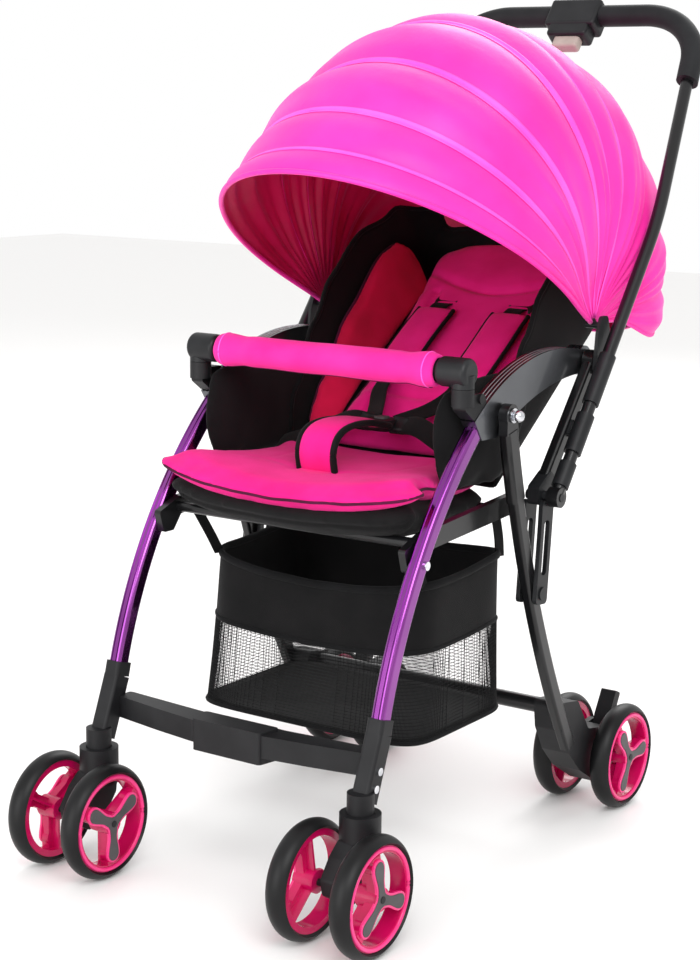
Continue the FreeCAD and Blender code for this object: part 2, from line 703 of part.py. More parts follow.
def tyre(x, place):
    """Solid tyre with a round tread and flat flanks at its seat."""
    half = tyre_width / 2
    shoulder = half - 3.5
    tread = wheel_radius - 7.5
    corners = [V(-shoulder, rim_radius, 0), V(-half, tread, 0), V(0, wheel_radius, 0), V(half, tread, 0),
               V(shoulder, rim_radius, 0)]
    outline = [
        Part.LineSegment(corners[0], corners[1]).toShape(),
        Part.Arc(corners[1], corners[2], corners[3]).toShape(),
        Part.LineSegment(corners[3], corners[4]).toShape(),
        Part.LineSegment(corners[4], corners[0]).toShape(),
    ]
    ring = Part.Face(Part.Wire(outline)).revolve(V(0, 0, 0), SIDE, 360)
    ring.translate(V(x, *place))
    return ring


def rim(x, place, outward, turn):
    """Deep rim with three round-ended lobes on its outward side and ribs behind them, turned as it stands."""
    half = tyre_width / 2 - 3.5
    ring = pin((0, 0), -half, half, rim_radius).cut(pin((0, 0), -half, half, ring_radius))
    hub = pin((0, 0), -hub_width / 2, hub_width / 2, hub_radius)
    pieces = [hub]
    for number in range(lobe_count):
        arm = Part.makeBox(11, 15, ring_radius, V(0, -7.5, 0))
        end = pin((0, lobe_end), 0, 11, lobe_radius)
        rib = Part.makeBox(14, 3, ring_radius + 2, V(-10, -1.5, 0))
        lobe = arm.fuse([end, rib])
        lobe.rotate(V(0, 0, 0), SIDE, turn + number * 360.0 / lobe_count)
        pieces.append(lobe)
    shape = ring.fuse(pieces).cut(pin((0, 0), -20, 20, axle_radius + RUN))
    if outward < 0:
        shape = mirror(shape)
    shape.translate(V(x, *place))
    return shape


wheel_turns = {("front", "left"): 10.0, ("front", "right"): 60.0, ("rear", "left"): 35.0,
               ("rear", "right"): 80.0}
for end_name, place in (("front", front_axle), ("rear", rear_axle)):
    for side_name, side in (("left", 1), ("right", -1)):
        for twin_name, twin in (("outer", 1), ("inner", -1)):
            x = side * (hub_x + twin * twin_spacing / 2)
            put(f"tyre_{end_name}_{side_name}_{twin_name}", tyre(x, place))
            shape = rim(x, place, side * twin, wheel_turns[end_name, side_name])
            put(f"rim_{end_name}_{side_name}_{twin_name}", shape)
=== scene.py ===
import json
import math

import bmesh
import bpy
from mathutils import Matrix, Vector, kdtree, noise
from mathutils.bvhtree import BVHTree


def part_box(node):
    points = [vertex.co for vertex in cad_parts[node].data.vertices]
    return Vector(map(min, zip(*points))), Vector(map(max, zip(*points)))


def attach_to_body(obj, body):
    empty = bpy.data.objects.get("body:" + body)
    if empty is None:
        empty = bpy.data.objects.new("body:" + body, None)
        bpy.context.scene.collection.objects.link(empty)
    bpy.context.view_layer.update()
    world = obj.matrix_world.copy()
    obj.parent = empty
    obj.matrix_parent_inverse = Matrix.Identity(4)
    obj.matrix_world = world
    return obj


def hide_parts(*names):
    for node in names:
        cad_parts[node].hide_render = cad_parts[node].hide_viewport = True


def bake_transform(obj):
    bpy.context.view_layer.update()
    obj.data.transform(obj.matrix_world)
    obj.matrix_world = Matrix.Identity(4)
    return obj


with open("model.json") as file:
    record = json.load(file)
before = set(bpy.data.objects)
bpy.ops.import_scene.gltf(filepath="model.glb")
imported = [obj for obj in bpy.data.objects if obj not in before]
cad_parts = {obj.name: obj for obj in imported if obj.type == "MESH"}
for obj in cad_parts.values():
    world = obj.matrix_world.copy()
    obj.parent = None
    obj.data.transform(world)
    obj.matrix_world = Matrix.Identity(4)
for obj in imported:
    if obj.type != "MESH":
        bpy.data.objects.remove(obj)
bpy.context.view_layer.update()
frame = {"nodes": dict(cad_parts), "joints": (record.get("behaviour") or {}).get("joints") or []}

# Light baby stroller: the frame comes packed, and this script gives it fabric, finishes and light.
# Side-view places are (y, z) in millimetres from the middle of the wheelbase; side() turns them into metres.

nodes = frame["nodes"]
joints = {j["name"]: j for j in frame["joints"]}
millimetre = 0.001
frontAxle = Vector(joints["wheel_spin_front_left_outer"]["pos_m"])
rearAxle = Vector(joints["wheel_spin_rear_left_outer"]["pos_m"])
middleY = (frontAxle.y + rearAxle.y) / 2
canopyAxle = Vector(joints["canopy_front_fold"]["pos_m"])
seatHinge = Vector(joints["backrest_recline"]["pos_m"])


def side(x, y, z):
    return Vector((x * millimetre, middleY + y * millimetre, z * millimetre))


def smooth(t):
    t = max(0.0, min(1.0, t))
    return t * t * (3 - 2 * t)


def shares(steps):
    # evenly spaced places from 0 to 1, both ends included
    return [i / steps for i in range(steps + 1)]


def between(value, table):
    # smooth reading of a short list of (place, size) pairs
    for (a, u), (b, v) in zip(table, table[1:]):
        if (a <= value <= b) or (a >= value >= b):
            t = (value - a) / (b - a)
            return u + (v - u) * (1 - math.cos(math.pi * t)) / 2
    return table[0][1] if abs(value - table[0][0]) < abs(value - table[-1][0]) else table[-1][1]


# materials

def linearColour(code):
    parts = [int(code[i:i + 2], 16) / 255 for i in (1, 3, 5)]
    return (*[c / 12.92 if c <= 0.04045 else ((c + 0.055) / 1.055) ** 2.4 for c in parts], 1.0)


def addNode(tree, kind, settings=None, links=None):
    # settings: property or socket name to value; links: socket name to another node's output
    made = tree.nodes.new(kind)
    for name, value in (settings or {}).items():
        if isinstance(name, int) or name in made.inputs:
            made.inputs[name].default_value = value
        else:
            setattr(made, name, value)
    for name, output in (links or {}).items():
        tree.links.new(output, made.inputs[name])
    return made


def startMaterial(name, colour, roughness, **settings):
    # a Principled shader with its plain values set on its own sockets
    material = bpy.data.materials.new(name)
    material.use_nodes = True
    material.diffuse_color = linearColour(colour)
    tree = material.node_tree
    shader = tree.nodes["Principled BSDF"]
    shader.inputs["Base Color"].default_value = linearColour(colour)
    shader.inputs["Roughness"].default_value = roughness
    for socket, value in settings.items():
        shader.inputs[socket.replace("_", " ")].default_value = value
    place = addNode(tree, "ShaderNodeTexCoord").outputs["Object"]
    return material, tree, shader, place


def variedColour(tree, shader, place, dark, light, size, detail=3.0):
    # slow change between two shades, size is the patch width in mm
    cloud = addNode(tree, "ShaderNodeTexNoise", {"Scale": 1 / (size * millimetre), "Detail": detail},
                    {"Vector": place})
    ramp = addNode(tree, "ShaderNodeValToRGB", None, {"Fac": cloud.outputs["Fac"]})
    ramp.color_ramp.elements[0].position = 0.32
    ramp.color_ramp.elements[1].position = 0.68
    ramp.color_ramp.elements[0].color = linearColour(dark)
    ramp.color_ramp.elements[1].color = linearColour(light)
    tree.links.new(ramp.outputs["Color"], shader.inputs["Base Color"])
    return ramp


def threadHeight(tree, place, pitch):
    # two crossing sets of threads, pitch apart in mm; the sloping axes keep it off any one plane
    waves = []
    for axes in ((1.0, 0.35, 0.0), (0.0, 0.35, 1.0)):
        turned = addNode(tree, "ShaderNodeVectorMath", {"operation": "DOT_PRODUCT", 1: axes}, {0: place})
        scaled = addNode(tree, "ShaderNodeMath", {"operation": "MULTIPLY",
                                                  1: 2 * math.pi / (pitch * millimetre)},
                         {0: turned.outputs["Value"]})
        waves.append(addNode(tree, "ShaderNodeMath", {"operation": "SINE"}, {0: scaled.outputs[0]}))
    mixed = addNode(tree, "ShaderNodeMath", {"operation": "MULTIPLY"},
                    {0: waves[0].outputs[0], 1: waves[1].outputs[0]})
    return mixed.outputs[0]


def nylonTaffeta(name, dark, light):
    # coated nylon taffeta, woven: a soft sheen with a fine crinkle
    material, tree, shader, place = startMaterial(
        name, light, 0.46, Sheen_Weight=0.22, Sheen_Roughness=0.35, Specular_IOR_Level=0.38)
    shader.inputs["Sheen Tint"].default_value = linearColour("#FF9BE8")
    variedColour(tree, shader, place, dark, light, 90)
    crinkle = addNode(tree, "ShaderNodeTexNoise", {"Scale": 1 / (14 * millimetre), "Detail": 5.0,
                                                   "Roughness": 0.55}, {"Vector": place})
    weave = threadHeight(tree, place, 1.6)        # real threads are 0.2 mm; 1.6 mm is the finest that shows
    height = addNode(tree, "ShaderNodeMath", {"operation": "MULTIPLY_ADD", 1: 0.06},
                     {0: weave, 2: crinkle.outputs["Fac"]})
    bump = addNode(tree, "ShaderNodeBump", {"Strength": 0.35, "Distance": 1.2 * millimetre},
                   {"Height": height.outputs[0]})
    tree.links.new(bump.outputs["Normal"], shader.inputs["Normal"])
    return material


def polyesterKnit(name, dark, light, pitch=1.5):
    # brushed polyester spacer knit: matt, with small even loops
    material, tree, shader, place = startMaterial(
        name, light, 0.82, Sheen_Weight=0.15, Sheen_Roughness=0.5, Specular_IOR_Level=0.2)
    shader.inputs["Sheen Tint"].default_value = linearColour("#FFB0E0")
    variedColour(tree, shader, place, dark, light, 60)
    bump = addNode(tree, "ShaderNodeBump", {"Strength": 0.30, "Distance": 0.35 * millimetre},
                   {"Height": threadHeight(tree, place, pitch)})
    tree.links.new(bump.outputs["Normal"], shader.inputs["Normal"])
    return material


def polyesterOxford(name, dark, light, pitch=1.2):
    # 600 denier oxford cloth, woven: matt black with a visible basket weave
    material, tree, shader, place = startMaterial(
        name, light, 0.82, Sheen_Weight=0.04, Sheen_Roughness=0.5, Specular_IOR_Level=0.15)
    variedColour(tree, shader, place, dark, light, 45)
    bump = addNode(tree, "ShaderNodeBump", {"Strength": 0.5, "Distance": 0.3 * millimetre},
                   {"Height": threadHeight(tree, place, pitch)})
    tree.links.new(bump.outputs["Normal"], shader.inputs["Normal"])
    return material


def mouldedPlastic(name, dark, light, roughness=0.5):
    # injection moulded ABS with a spark-eroded grain: a grey satin on its edges
    material, tree, shader, place = startMaterial(name, light, roughness, IOR=1.53, Specular_IOR_Level=0.24)
    variedColour(tree, shader, place, dark, light, 30)
    pits = addNode(tree, "ShaderNodeTexNoise", {"Scale": 1 / (0.9 * millimetre), "Detail": 2.0},
                   {"Vector": place})
    bump = addNode(tree, "ShaderNodeBump", {"Strength": 0.18, "Distance": 0.12 * millimetre},
                   {"Height": pits.outputs["Fac"]})
    tree.links.new(bump.outputs["Normal"], shader.inputs["Normal"])
    return material


def anodisedAluminium(name, dark, light, roughness=0.2):
    # extruded and anodised tube: bright metal colour with fine drawing lines along it
    material, tree, shader, place = startMaterial(name, light, roughness, Metallic=1.0, Coat_Weight=0.35,
                                                  Coat_Roughness=0.08)
    variedColour(tree, shader, place, dark, light, 120)
    stretch = addNode(tree, "ShaderNodeVectorMath", {"operation": "MULTIPLY", 1: (900.0, 40.0, 20.0)},
                      {0: place})
    lines = addNode(tree, "ShaderNodeTexNoise", {"Scale": 1.0, "Detail": 2.0}, {"Vector": stretch.outputs[0]})
    bump = addNode(tree, "ShaderNodeBump", {"Strength": 0.08, "Distance": 0.1 * millimetre},
                   {"Height": lines.outputs["Fac"]})
    tree.links.new(bump.outputs["Normal"], shader.inputs["Normal"])
    return material


def powderCoat(name, dark, light, roughness=0.28):
    # gloss black powder coat on steel tube: slight orange peel
    material, tree, shader, place = startMaterial(name, light, roughness, Coat_Weight=0.2,
                                                  Coat_Roughness=0.12, IOR=1.5, Specular_IOR_Level=0.3)
    variedColour(tree, shader, place, dark, light, 80)
    peel = addNode(tree, "ShaderNodeTexNoise", {"Scale": 1 / (2.2 * millimetre), "Detail": 1.0},
                   {"Vector": place})
    bump = addNode(tree, "ShaderNodeBump", {"Strength": 0.08, "Distance": 0.15 * millimetre},
                   {"Height": peel.outputs["Fac"]})
    tree.links.new(bump.outputs["Normal"], shader.inputs["Normal"])
    return material


def evaFoam(name, dark, light, roughness, cell=1.1, depth=0.2):
    # foamed EVA: soft grey highlights over a skin of small cells
    material, tree, shader, place = startMaterial(name, light, roughness, IOR=1.48, Specular_IOR_Level=0.24)
    variedColour(tree, shader, place, dark, light, 35)
    cells = addNode(tree, "ShaderNodeTexVoronoi", {"Scale": 1 / (cell * millimetre)}, {"Vector": place})
    bump = addNode(tree, "ShaderNodeBump", {"Strength": 0.2, "Distance": depth * millimetre},
                   {"Height": cells.outputs["Distance"]})
    tree.links.new(bump.outputs["Normal"], shader.inputs["Normal"])
    return material


def platedSteel(name):
    # bright zinc-plated steel: small mirror with faint haze
    material, tree, shader, place = startMaterial(name, "#D9DADD", 0.18, Metallic=1.0)
    variedColour(tree, shader, place, "#B9BBC0", "#E6E7EA", 12)
    return material


def glossPolypropylene(name, dark, light, roughness=0.2):
    # moulded polypropylene with a polished face: clear colour, sharp highlights
    material, tree, shader, place = startMaterial(name, light, roughness, IOR=1.49, Coat_Weight=0.15,
                                                  Coat_Roughness=0.1, Specular_IOR_Level=0.35)
    variedColour(tree, shader, place, dark, light, 70)
    flow = addNode(tree, "ShaderNodeTexNoise", {"Scale": 1 / (18 * millimetre), "Detail": 1.0},
                   {"Vector": place})
    bump = addNode(tree, "ShaderNodeBump", {"Strength": 0.05, "Distance": 0.4 * millimetre},
                   {"Height": flow.outputs["Fac"]})
    tree.links.new(bump.outputs["Normal"], shader.inputs["Normal"])
    return material


finishes = {
    "canopyNylon": nylonTaffeta("canopyNylon", "#F0209A", "#FA2FA8"),
    # the canopy's inside is the same pink nylon; its darker crimson is painted shade
    "canopyInsidePaintedShade": nylonTaffeta("canopyInsidePaintedShade", "#C40A4C", "#DC1260"),
    "ribbonNylon": nylonTaffeta("ribbonNylon", "#FA44BE", "#FF5CCB"),
    "seatKnit": polyesterKnit("seatKnit", "#D80C74", "#E81C86"),
    "bumperKnit": polyesterKnit("bumperKnit", "#E0208A", "#F02E98", 1.3),
    # the wings are the seat's pink knit; their darker red is painted shade on their inner faces
    "wingKnitPaintedShade": polyesterKnit("wingKnitPaintedShade", "#B00634", "#CC0A44"),
    "plumPiping": polyesterOxford("plumPiping", "#3A0622", "#520A34"),
    "blackOxford": polyesterOxford("blackOxford", "#070708", "#0F0E0F"),
    "nylonWebbing": polyesterOxford("nylonWebbing", "#050506", "#0C0C0E", 2.0),
    "basketMesh": polyesterOxford("basketMesh", "#0E0E0F", "#19191A", 1.0),
    "absBlack": mouldedPlastic("absBlack", "#111113", "#1A1A1C"),
    "absHousing": mouldedPlastic("absHousing", "#141517", "#1E1F21", 0.42),
    "absGrey": mouldedPlastic("absGrey", "#9C9189", "#ADA299", 0.45),
    "inlayGrey": mouldedPlastic("inlayGrey", "#3E3B3D", "#4C494B", 0.38),
    "purpleAnodised": anodisedAluminium("purpleAnodised", "#7C3286", "#94489C"),
    "greyExtrusion": anodisedAluminium("greyExtrusion", "#54565A", "#6A6C70", 0.36),
    "silverStrip": anodisedAluminium("silverStrip", "#8D8F93", "#B2B4B8", 0.25),
    "blackPowderCoat": powderCoat("blackPowderCoat", "#0C0C0D", "#141416"),
    "gripEva": evaFoam("gripEva", "#131416", "#1D1E20", 0.6),
    "tyreEva": evaFoam("tyreEva", "#0B0B0C", "#141415", 0.42, 0.8, 0.08),
    "platedSteel": platedSteel("platedSteel"),
    # one pink plastic in two copies: the darker is painted shade on the rim, the lighter is painted light on
    # its face
    "pinkRimPaintedShade": glossPolypropylene("pinkRimPaintedShade", "#B00648", "#CC0C5C"),
    "rimLipPaintedLight": glossPolypropylene("rimLipPaintedLight", "#E02874", "#F23C88", 0.25),
}
nodeFinish = {
    "front_leg_tubes": "purpleAnodised", "lower_legs": "absBlack", "front_crossbar": "absBlack",
    "armrests": "greyExtrusion", "frame_bolts": "platedSteel", "seat_rails": "blackPowderCoat",
    "seat_pan": "blackOxford", "harness_buckle": "absBlack", "bumper_sockets": "absBlack",
    "back_tubes": "blackPowderCoat", "pivot_brackets": "absHousing", "pivot_blocks": "absHousing",
    "handle_tube": "blackPowderCoat", "handle_grip": "gripEva", "button_housing": "absHousing",
    "handle_sleeves": "absHousing", "fold_button": "absGrey", "handle_locks": "absHousing",
    "bumper_bar": "absHousing", "rear_legs": "blackPowderCoat", "rear_crossbar": "blackPowderCoat",
    "rear_hubs": "absBlack", "fold_catches": "absHousing", "brake_pedal_left": "absBlack",
    "brake_pedal_right": "absBlack", "caster_fork_left": "absBlack", "caster_fork_right": "absBlack",
    "backrest_shell": "blackOxford",
}
for name, node in nodes.items():
    finish = nodeFinish.get(name, "blackOxford")
    if name.startswith("tyre"):
        finish = "tyreEva"
    # the rims take the darker pink copy, which is painted shade
    if name.startswith("rim"):
        finish = "pinkRimPaintedShade"
    node.data.materials.clear()
    node.data.materials.append(finishes[finish])
print("finishes ready")


# mesh helpers

def meshPiece(name, points, faces, finish, smoothShade=True):
    mesh = bpy.data.meshes.new(name)
    mesh.from_pydata([tuple(p) for p in points], [], faces)
    mesh.validate()
    made = bmesh.new()
    made.from_mesh(mesh)
    bmesh.ops.recalc_face_normals(made, faces=made.faces)
    made.to_mesh(mesh)
    made.free()
    mesh.materials.append(finishes[finish])
    if smoothShade:
        mesh.polygons.foreach_set("use_smooth", [True] * len(mesh.polygons))
    piece = bpy.data.objects.new(name, mesh)
    bpy.context.scene.collection.objects.link(piece)
    return piece


def gridPiece(name, columns, rows, place, finish, closed=False):
    # a sheet whose point at (u, v) is place(u, v), u across and v along, both from 0 to 1
    points = [place(i / (columns if closed else columns - 1), j / (rows - 1))
              for j in range(rows) for i in range(columns)]
    faces = []
    for j in range(rows - 1):
        for i in range(columns if closed else columns - 1):
            k = (i + 1) % columns
            faces.append((j * columns + i, j * columns + k, (j + 1) * columns + k, (j + 1) * columns + i))
    return meshPiece(name, points, faces, finish)


def applyAll(piece):
    # bakes every modifier into the mesh
    graph = bpy.context.evaluated_depsgraph_get()
    baked = bpy.data.meshes.new_from_object(piece.evaluated_get(graph))
    piece.modifiers.clear()
    piece.data = baked
    return piece


def addModifier(piece, kind, **settings):
    made = piece.modifiers.new(kind.title(), kind)
    for name, value in settings.items():
        setattr(made, name, value)
    return made


def attach(piece, body):
    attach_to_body(piece, body)


def hugging(piece, route, stand=0.0006):
    # the same route laid on the piece's surface
    surface = BVHTree.FromPolygons([v.co for v in piece.data.vertices],
                                   [tuple(p.vertices) for p in piece.data.polygons])
    found = [surface.find_nearest(point) for point in route]
    laid = [place + normal * stand for place, normal, _, _ in found]
    for _ in range(3):
        laid = [laid[0], *[(a + b * 2 + c) / 4 for a, b, c in zip(laid, laid[1:], laid[2:])], laid[-1]]
    return laid


def cutSize(piece, columns, closed=False):
    # a sheet's longest run across, its longest run along, and its area, all laid flat
    points = [v.co for v in piece.data.vertices]
    rows = len(points) // columns
    steps = columns if closed else columns - 1
    across = max(sum((points[j * columns + (i + 1) % columns] - points[j * columns + i]).length
                     for i in range(steps)) for j in range(rows))
    along = max(sum((points[(j + 1) * columns + i] - points[j * columns + i]).length
                    for j in range(rows - 1)) for i in range(columns))
    return (across, along), sum(p.area for p in piece.data.polygons)


def loftFaces(rings, ring, closed=False):
    # faces between neighbouring rings of points, with a cap at each open end
    faces = []
    for i in range(rings if closed else rings - 1):
        n = (i + 1) % rings
        for k in range(ring):
            m = (k + 1) % ring
            faces.append((i * ring + k, i * ring + m, n * ring + m, n * ring + k))
    if not closed:
        faces += [tuple(range(ring)), tuple(range((rings - 1) * ring, rings * ring))]
    return faces


def roundCord(name, route, radius, finish, closed=False, flatten=1.0):
    # a bead of piping that follows a list of points
    points = []
    ring = 8
    count = len(route)
    for i, centre in enumerate(route):
        ahead = route[(i + 1) % count] if closed or i + 1 < count else centre
        behind = route[i - 1] if closed or i else centre
        along = (ahead - behind).normalized()
        across = along.cross(Vector((0, 0, 1)))
        across = across.normalized() if across.length > 0.05 else along.cross(Vector((1, 0, 0))).normalized()
        up = across.cross(along).normalized()
        for k in range(ring):
            t = 2 * math.pi * k / ring
            points.append(centre + across * math.cos(t) * radius + up * math.sin(t) * radius * flatten)
    return meshPiece(name, points, loftFaces(count, ring, closed), finish)


def webbing(name, route, across, width, thickness, finish):
    # a flat strap: its middle line, the direction across it, and an edge rib on both sides
    points = []
    section = [(-0.5, 0), (-0.46, 0.6), (-0.36, 0.5), (0.36, 0.5), (0.46, 0.6), (0.5, 0),
               (0.46, -0.6), (0.36, -0.5), (-0.36, -0.5), (-0.46, -0.6)]
    for i, centre in enumerate(route):
        ahead = route[min(i + 1, len(route) - 1)]
        behind = route[max(i - 1, 0)]
        up = (ahead - behind).normalized().cross(across).normalized()
        points += [centre + across * a * width + up * b * thickness for a, b in section]
    return meshPiece(name, points, loftFaces(len(route), len(section)), finish)


def curveThrough(points, steps):
    # Catmull-Rom curve through given points
    found = []
    extended = [points[0] * 2 - points[1], *points, points[-1] * 2 - points[-2]]
    for a, b, c, d in zip(extended, extended[1:], extended[2:], extended[3:]):
        for i in range(steps):
            t = i / steps
            found.append(0.5 * (2 * b + (c - a) * t + (2 * a - 5 * b + 4 * c - d) * t * t
                                + (3 * b - a - 3 * c + d) * t ** 3))
    return [*found, points[-1]]


padCloth = {
    "frames": 18,             # simulated before the swelling is kept
    "stiffness": 30,
    "softening": 6,           # rounds of smoothing after it
}


def inflate(piece, voxel, pressure, cap):
    # swells a closed pad with cloth pressure, then limits how far each point has moved
    addModifier(piece, "REMESH", mode="VOXEL", voxel_size=voxel)
    applyAll(piece)
    start = [v.co.copy() for v in piece.data.vertices]
    cloth = addModifier(piece, "CLOTH")
    cloth.settings.use_pressure = True
    cloth.settings.uniform_pressure_force = pressure
    cloth.settings.effector_weights.gravity = 0
    cloth.settings.tension_stiffness = padCloth["stiffness"]
    cloth.settings.compression_stiffness = padCloth["stiffness"]
    for number in range(1, padCloth["frames"] + 1):
        bpy.context.scene.frame_set(number)
    applyAll(piece)
    for v, begin in zip(piece.data.vertices, start):
        move = v.co - begin
        if move.length > cap:
            v.co = begin + move.normalized() * cap
    bpy.context.scene.frame_set(1)
    addModifier(piece, "SMOOTH", factor=0.5, iterations=padCloth["softening"])
    addModifier(piece, "SUBSURF", levels=1, render_levels=1)
    applyAll(piece)
    piece.data.polygons.foreach_set("use_smooth", [True] * len(piece.data.polygons))
    return piece


# canopy: one skin over the bows, cut only where a bow carries it

canopy = {
    "seams": [(62.5, 404), (56.5, 384), (46.5, 367), (30.0, 357), (11.0, 364), (-3.0, 361), (-15.0, 357),
              (-38.0, 347), (-60.0, 322), (-80.0, 290), (-97.0, 262)],       # angle from upright, reach in mm
    "halfWidth": 211.0,
    "straight": 130.0,
    "puff": 10.0,             # how far the skin stands out between bows
    "cloth": 0.9,             # thickness
}
pieces = [("canopyFront", 62.5, 30.0), ("canopyMiddle", 30.0, 11.0), ("canopyRear", 11.0, -15.0),
          ("canopySkirt", -15.0, -97.0)]


def bowPoint(angle, reach, u, lift=0.0):
    # point on a bow: u runs from the left foot (0) over the top (0.5) to the right foot (1)
    half, straight = canopy["halfWidth"], canopy["straight"]
    top = reach - straight
    arcLength = math.pi * (1.5 * (half + top) - math.sqrt(half * top)) / 2
    total = arcLength + 2 * straight
    run = u * total
    if run < straight:
        x, r, nx, nr = half, max(run, 9.0), 1.0, 0.0
    elif run > total - straight:
        x, r, nx, nr = -half, max(total - run, 9.0), -1.0, 0.0
    else:
        t = (run - straight) / arcLength * math.pi
        x, r = half * math.cos(t), straight + top * math.sin(t)
        nx, nr = math.cos(t) / half, math.sin(t) / top
        size = math.hypot(nx, nr)
        nx, nr = nx / size, nr / size
    narrow = 1.0 - 0.05 * (1 - smooth(r / 120.0))          # gathered in at the feet
    x, r = (x * narrow + nx * lift), r + nr * lift
    a = math.radians(angle)
    return Vector((x * millimetre, canopyAxle.y - r * math.sin(a) * millimetre,
                   canopyAxle.z + r * math.cos(a) * millimetre)), r


def seamReach(angle):
    table = canopy["seams"]
    for (a, u), (b, v) in zip(table, table[1:]):
        if a >= angle >= b:
            share = (a - angle) / (a - b)
            return u + (v - u) * share, share, a, b
    return table[-1][1], 0.0, table[-1][0], table[-1][0]


def skinPoint(angle, u):
    reach, share, a, b = seamReach(angle)
    _, r = bowPoint(angle, reach, u)
    width = abs(a - b)
    fade = smooth(r / 210.0)
    rise = canopy["puff"] * min(1.0, width / 15.0) * math.sin(math.pi * share) ** 0.75 * fade
    if a > 60:                                             # the stiff brim curls out a little
        rise = 3.0 * math.sin(math.pi * share)
    folds = noise.noise(Vector((angle * 0.16, u * 5.0, 3.1))) * 3.0 * smooth(r / 90.0)
    pull = math.sin(angle * 0.9 + 9 * noise.noise(Vector((angle * 0.05, u * 3, 0)))) * 2.2
    pull *= (1 - smooth(abs(r - 120.0) / 130.0))           # creases that run to the feet
    inside = math.sin(math.pi * share) ** 0.5 if a != b else 0.0
    point, _ = bowPoint(angle, reach, u, rise + (folds + pull) * inside)
    if angle < -60:                                        # the hem hangs in loose waves
        wave = (abs(angle) - 60) / 37.0
        point.z += 0.007 * wave * math.sin(u * 26.0)
        point.y += 0.005 * wave * math.sin(u * 19.0 + 1.0)
    return point


def canopySheet(name, front, rear):
    rows = max(12, int(abs(front - rear) * 1.3))
    sheet = gridPiece(name, 121, rows, lambda u, v: skinPoint(front + (rear - front) * v, u), "canopyNylon")
    cut, area = cutSize(sheet, 121)
    centre = Vector((0, canopyAxle.y, canopyAxle.z))
    middle = sheet.data.polygons[len(sheet.data.polygons) // 2 + 60]
    if middle.normal.dot(middle.center - centre) < 0:
        sheet.data.flip_normals()
    # the inner face takes the darker crimson copy of the nylon: painted shade under the canopy
    sheet.data.materials.append(finishes["canopyInsidePaintedShade"])
    addModifier(sheet, "SOLIDIFY", thickness=canopy["cloth"] * millimetre, offset=-1, material_offset=1)
    return applyAll(sheet), cut, area


def seamRibbon(name, angle, halfWide):
    # binding over a bow: wide at the top, narrow at the feet, with a raised middle
    def place(u, v):
        reach = seamReach(angle)[0]
        _, r = bowPoint(angle, reach, u)
        wide = halfWide * (0.25 + 0.75 * smooth(r / 300.0))
        spread = math.degrees(wide / max(r, 40.0)) * (2 * v - 1)
        a = angle + spread
        own = skinPoint(max(-96.9, min(62.4, a)), u)
        point, _ = bowPoint(a, reach, u, 1.6 - abs(2 * v - 1))
        outward = (own - Vector((0, canopyAxle.y, canopyAxle.z))).length
        here = (point - Vector((0, canopyAxle.y, canopyAxle.z))).length
        return point if here > outward else own + outwardAt(a, reach, u) * 0.0008
    ribbon = gridPiece(name, 121, 7, place, "ribbonNylon")
    addModifier(ribbon, "SOLIDIFY", thickness=0.0006, offset=0)
    return applyAll(ribbon)


def outwardAt(angle, reach, u):
    low, _ = bowPoint(angle, reach, u, 0.0)
    high, _ = bowPoint(angle, reach, u, 1.0)
    return (high - low).normalized()


carried = {"canopyFront": ("canopy_middle_bow", "canopy_front_bow"),
           "canopyMiddle": ("canopy_rear_bow", "canopy_middle_bow"),
           "canopyRear": ("back_frame", "canopy_rear_bow")}
cadPanels = {"canopyFront": "canopy_panel_front", "canopyMiddle": "canopy_panel_middle",
             "canopyRear": "canopy_panel_rear", "canopySkirt": "canopy_skirt"}
for name, front, rear in pieces:
    sheet, cut, area = canopySheet(name, front, rear)
    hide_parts(cadPanels[name])
    if name in carried:
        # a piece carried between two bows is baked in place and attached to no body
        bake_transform(sheet)
    else:
        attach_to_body(sheet, "back_frame")
ribbons = [("ribbonFront", 46.5, 5.0, "canopy_front_bow"), ("ribbonBrim", 56.8, 2.6, "canopy_front_bow"),
           ("ribbonMiddle", 30.0, 6.5, "canopy_middle_bow"), ("ribbonRear", 11.0, 6.5, "canopy_rear_bow"),
           ("ribbonBack", -15.0, 5.0, "back_frame"), ("ribbonMark", -3.0, 2.0, "canopy_rear_bow")]
for name, angle, wide, body in ribbons:
    ribbon = seamRibbon(name, angle, wide)
    attach(ribbon, body)
for name, angle, radius, body in (("brimEdge", 62.5, 0.0032, "canopy_front_bow"),
                                  ("hemEdge", -97.0, 0.0022, "back_frame")):
    route = [skinPoint(angle, i / 120) for i in range(121)]
    edge = roundCord(name, route, radius, "canopyNylon")
    attach(edge, body)
print("canopy ready")


# seat: pad, black base, side walls, backrest and harness

backLean = math.radians(54.0)
seat = {
    "halfWidth": [(0.0, 154.0), (0.5, 164.0), (0.74, 168.0), (0.82, 171.0), (0.93, 188.0), (0.97, 188.0),
                  (1.0, 182.0)],       # from the back edge to the front one
    "back": 76.0,
    "front": -174.0,
    "cornersBack": 24.0,      # the flap's corners stand this much behind its middle
    "cornersUp": 22.0,        # and this much above it
    "thick": 18.0,
}


def backPoint(x, up, forward):
    # place in the backrest's own frame: up from the hinge and forward of the shell
    return Vector((x * millimetre,
                   seatHinge.y + (up * math.sin(backLean) - forward * math.cos(backLean)) * millimetre,
                   seatHinge.z + (up * math.cos(backLean) + forward * math.sin(backLean)) * millimetre))


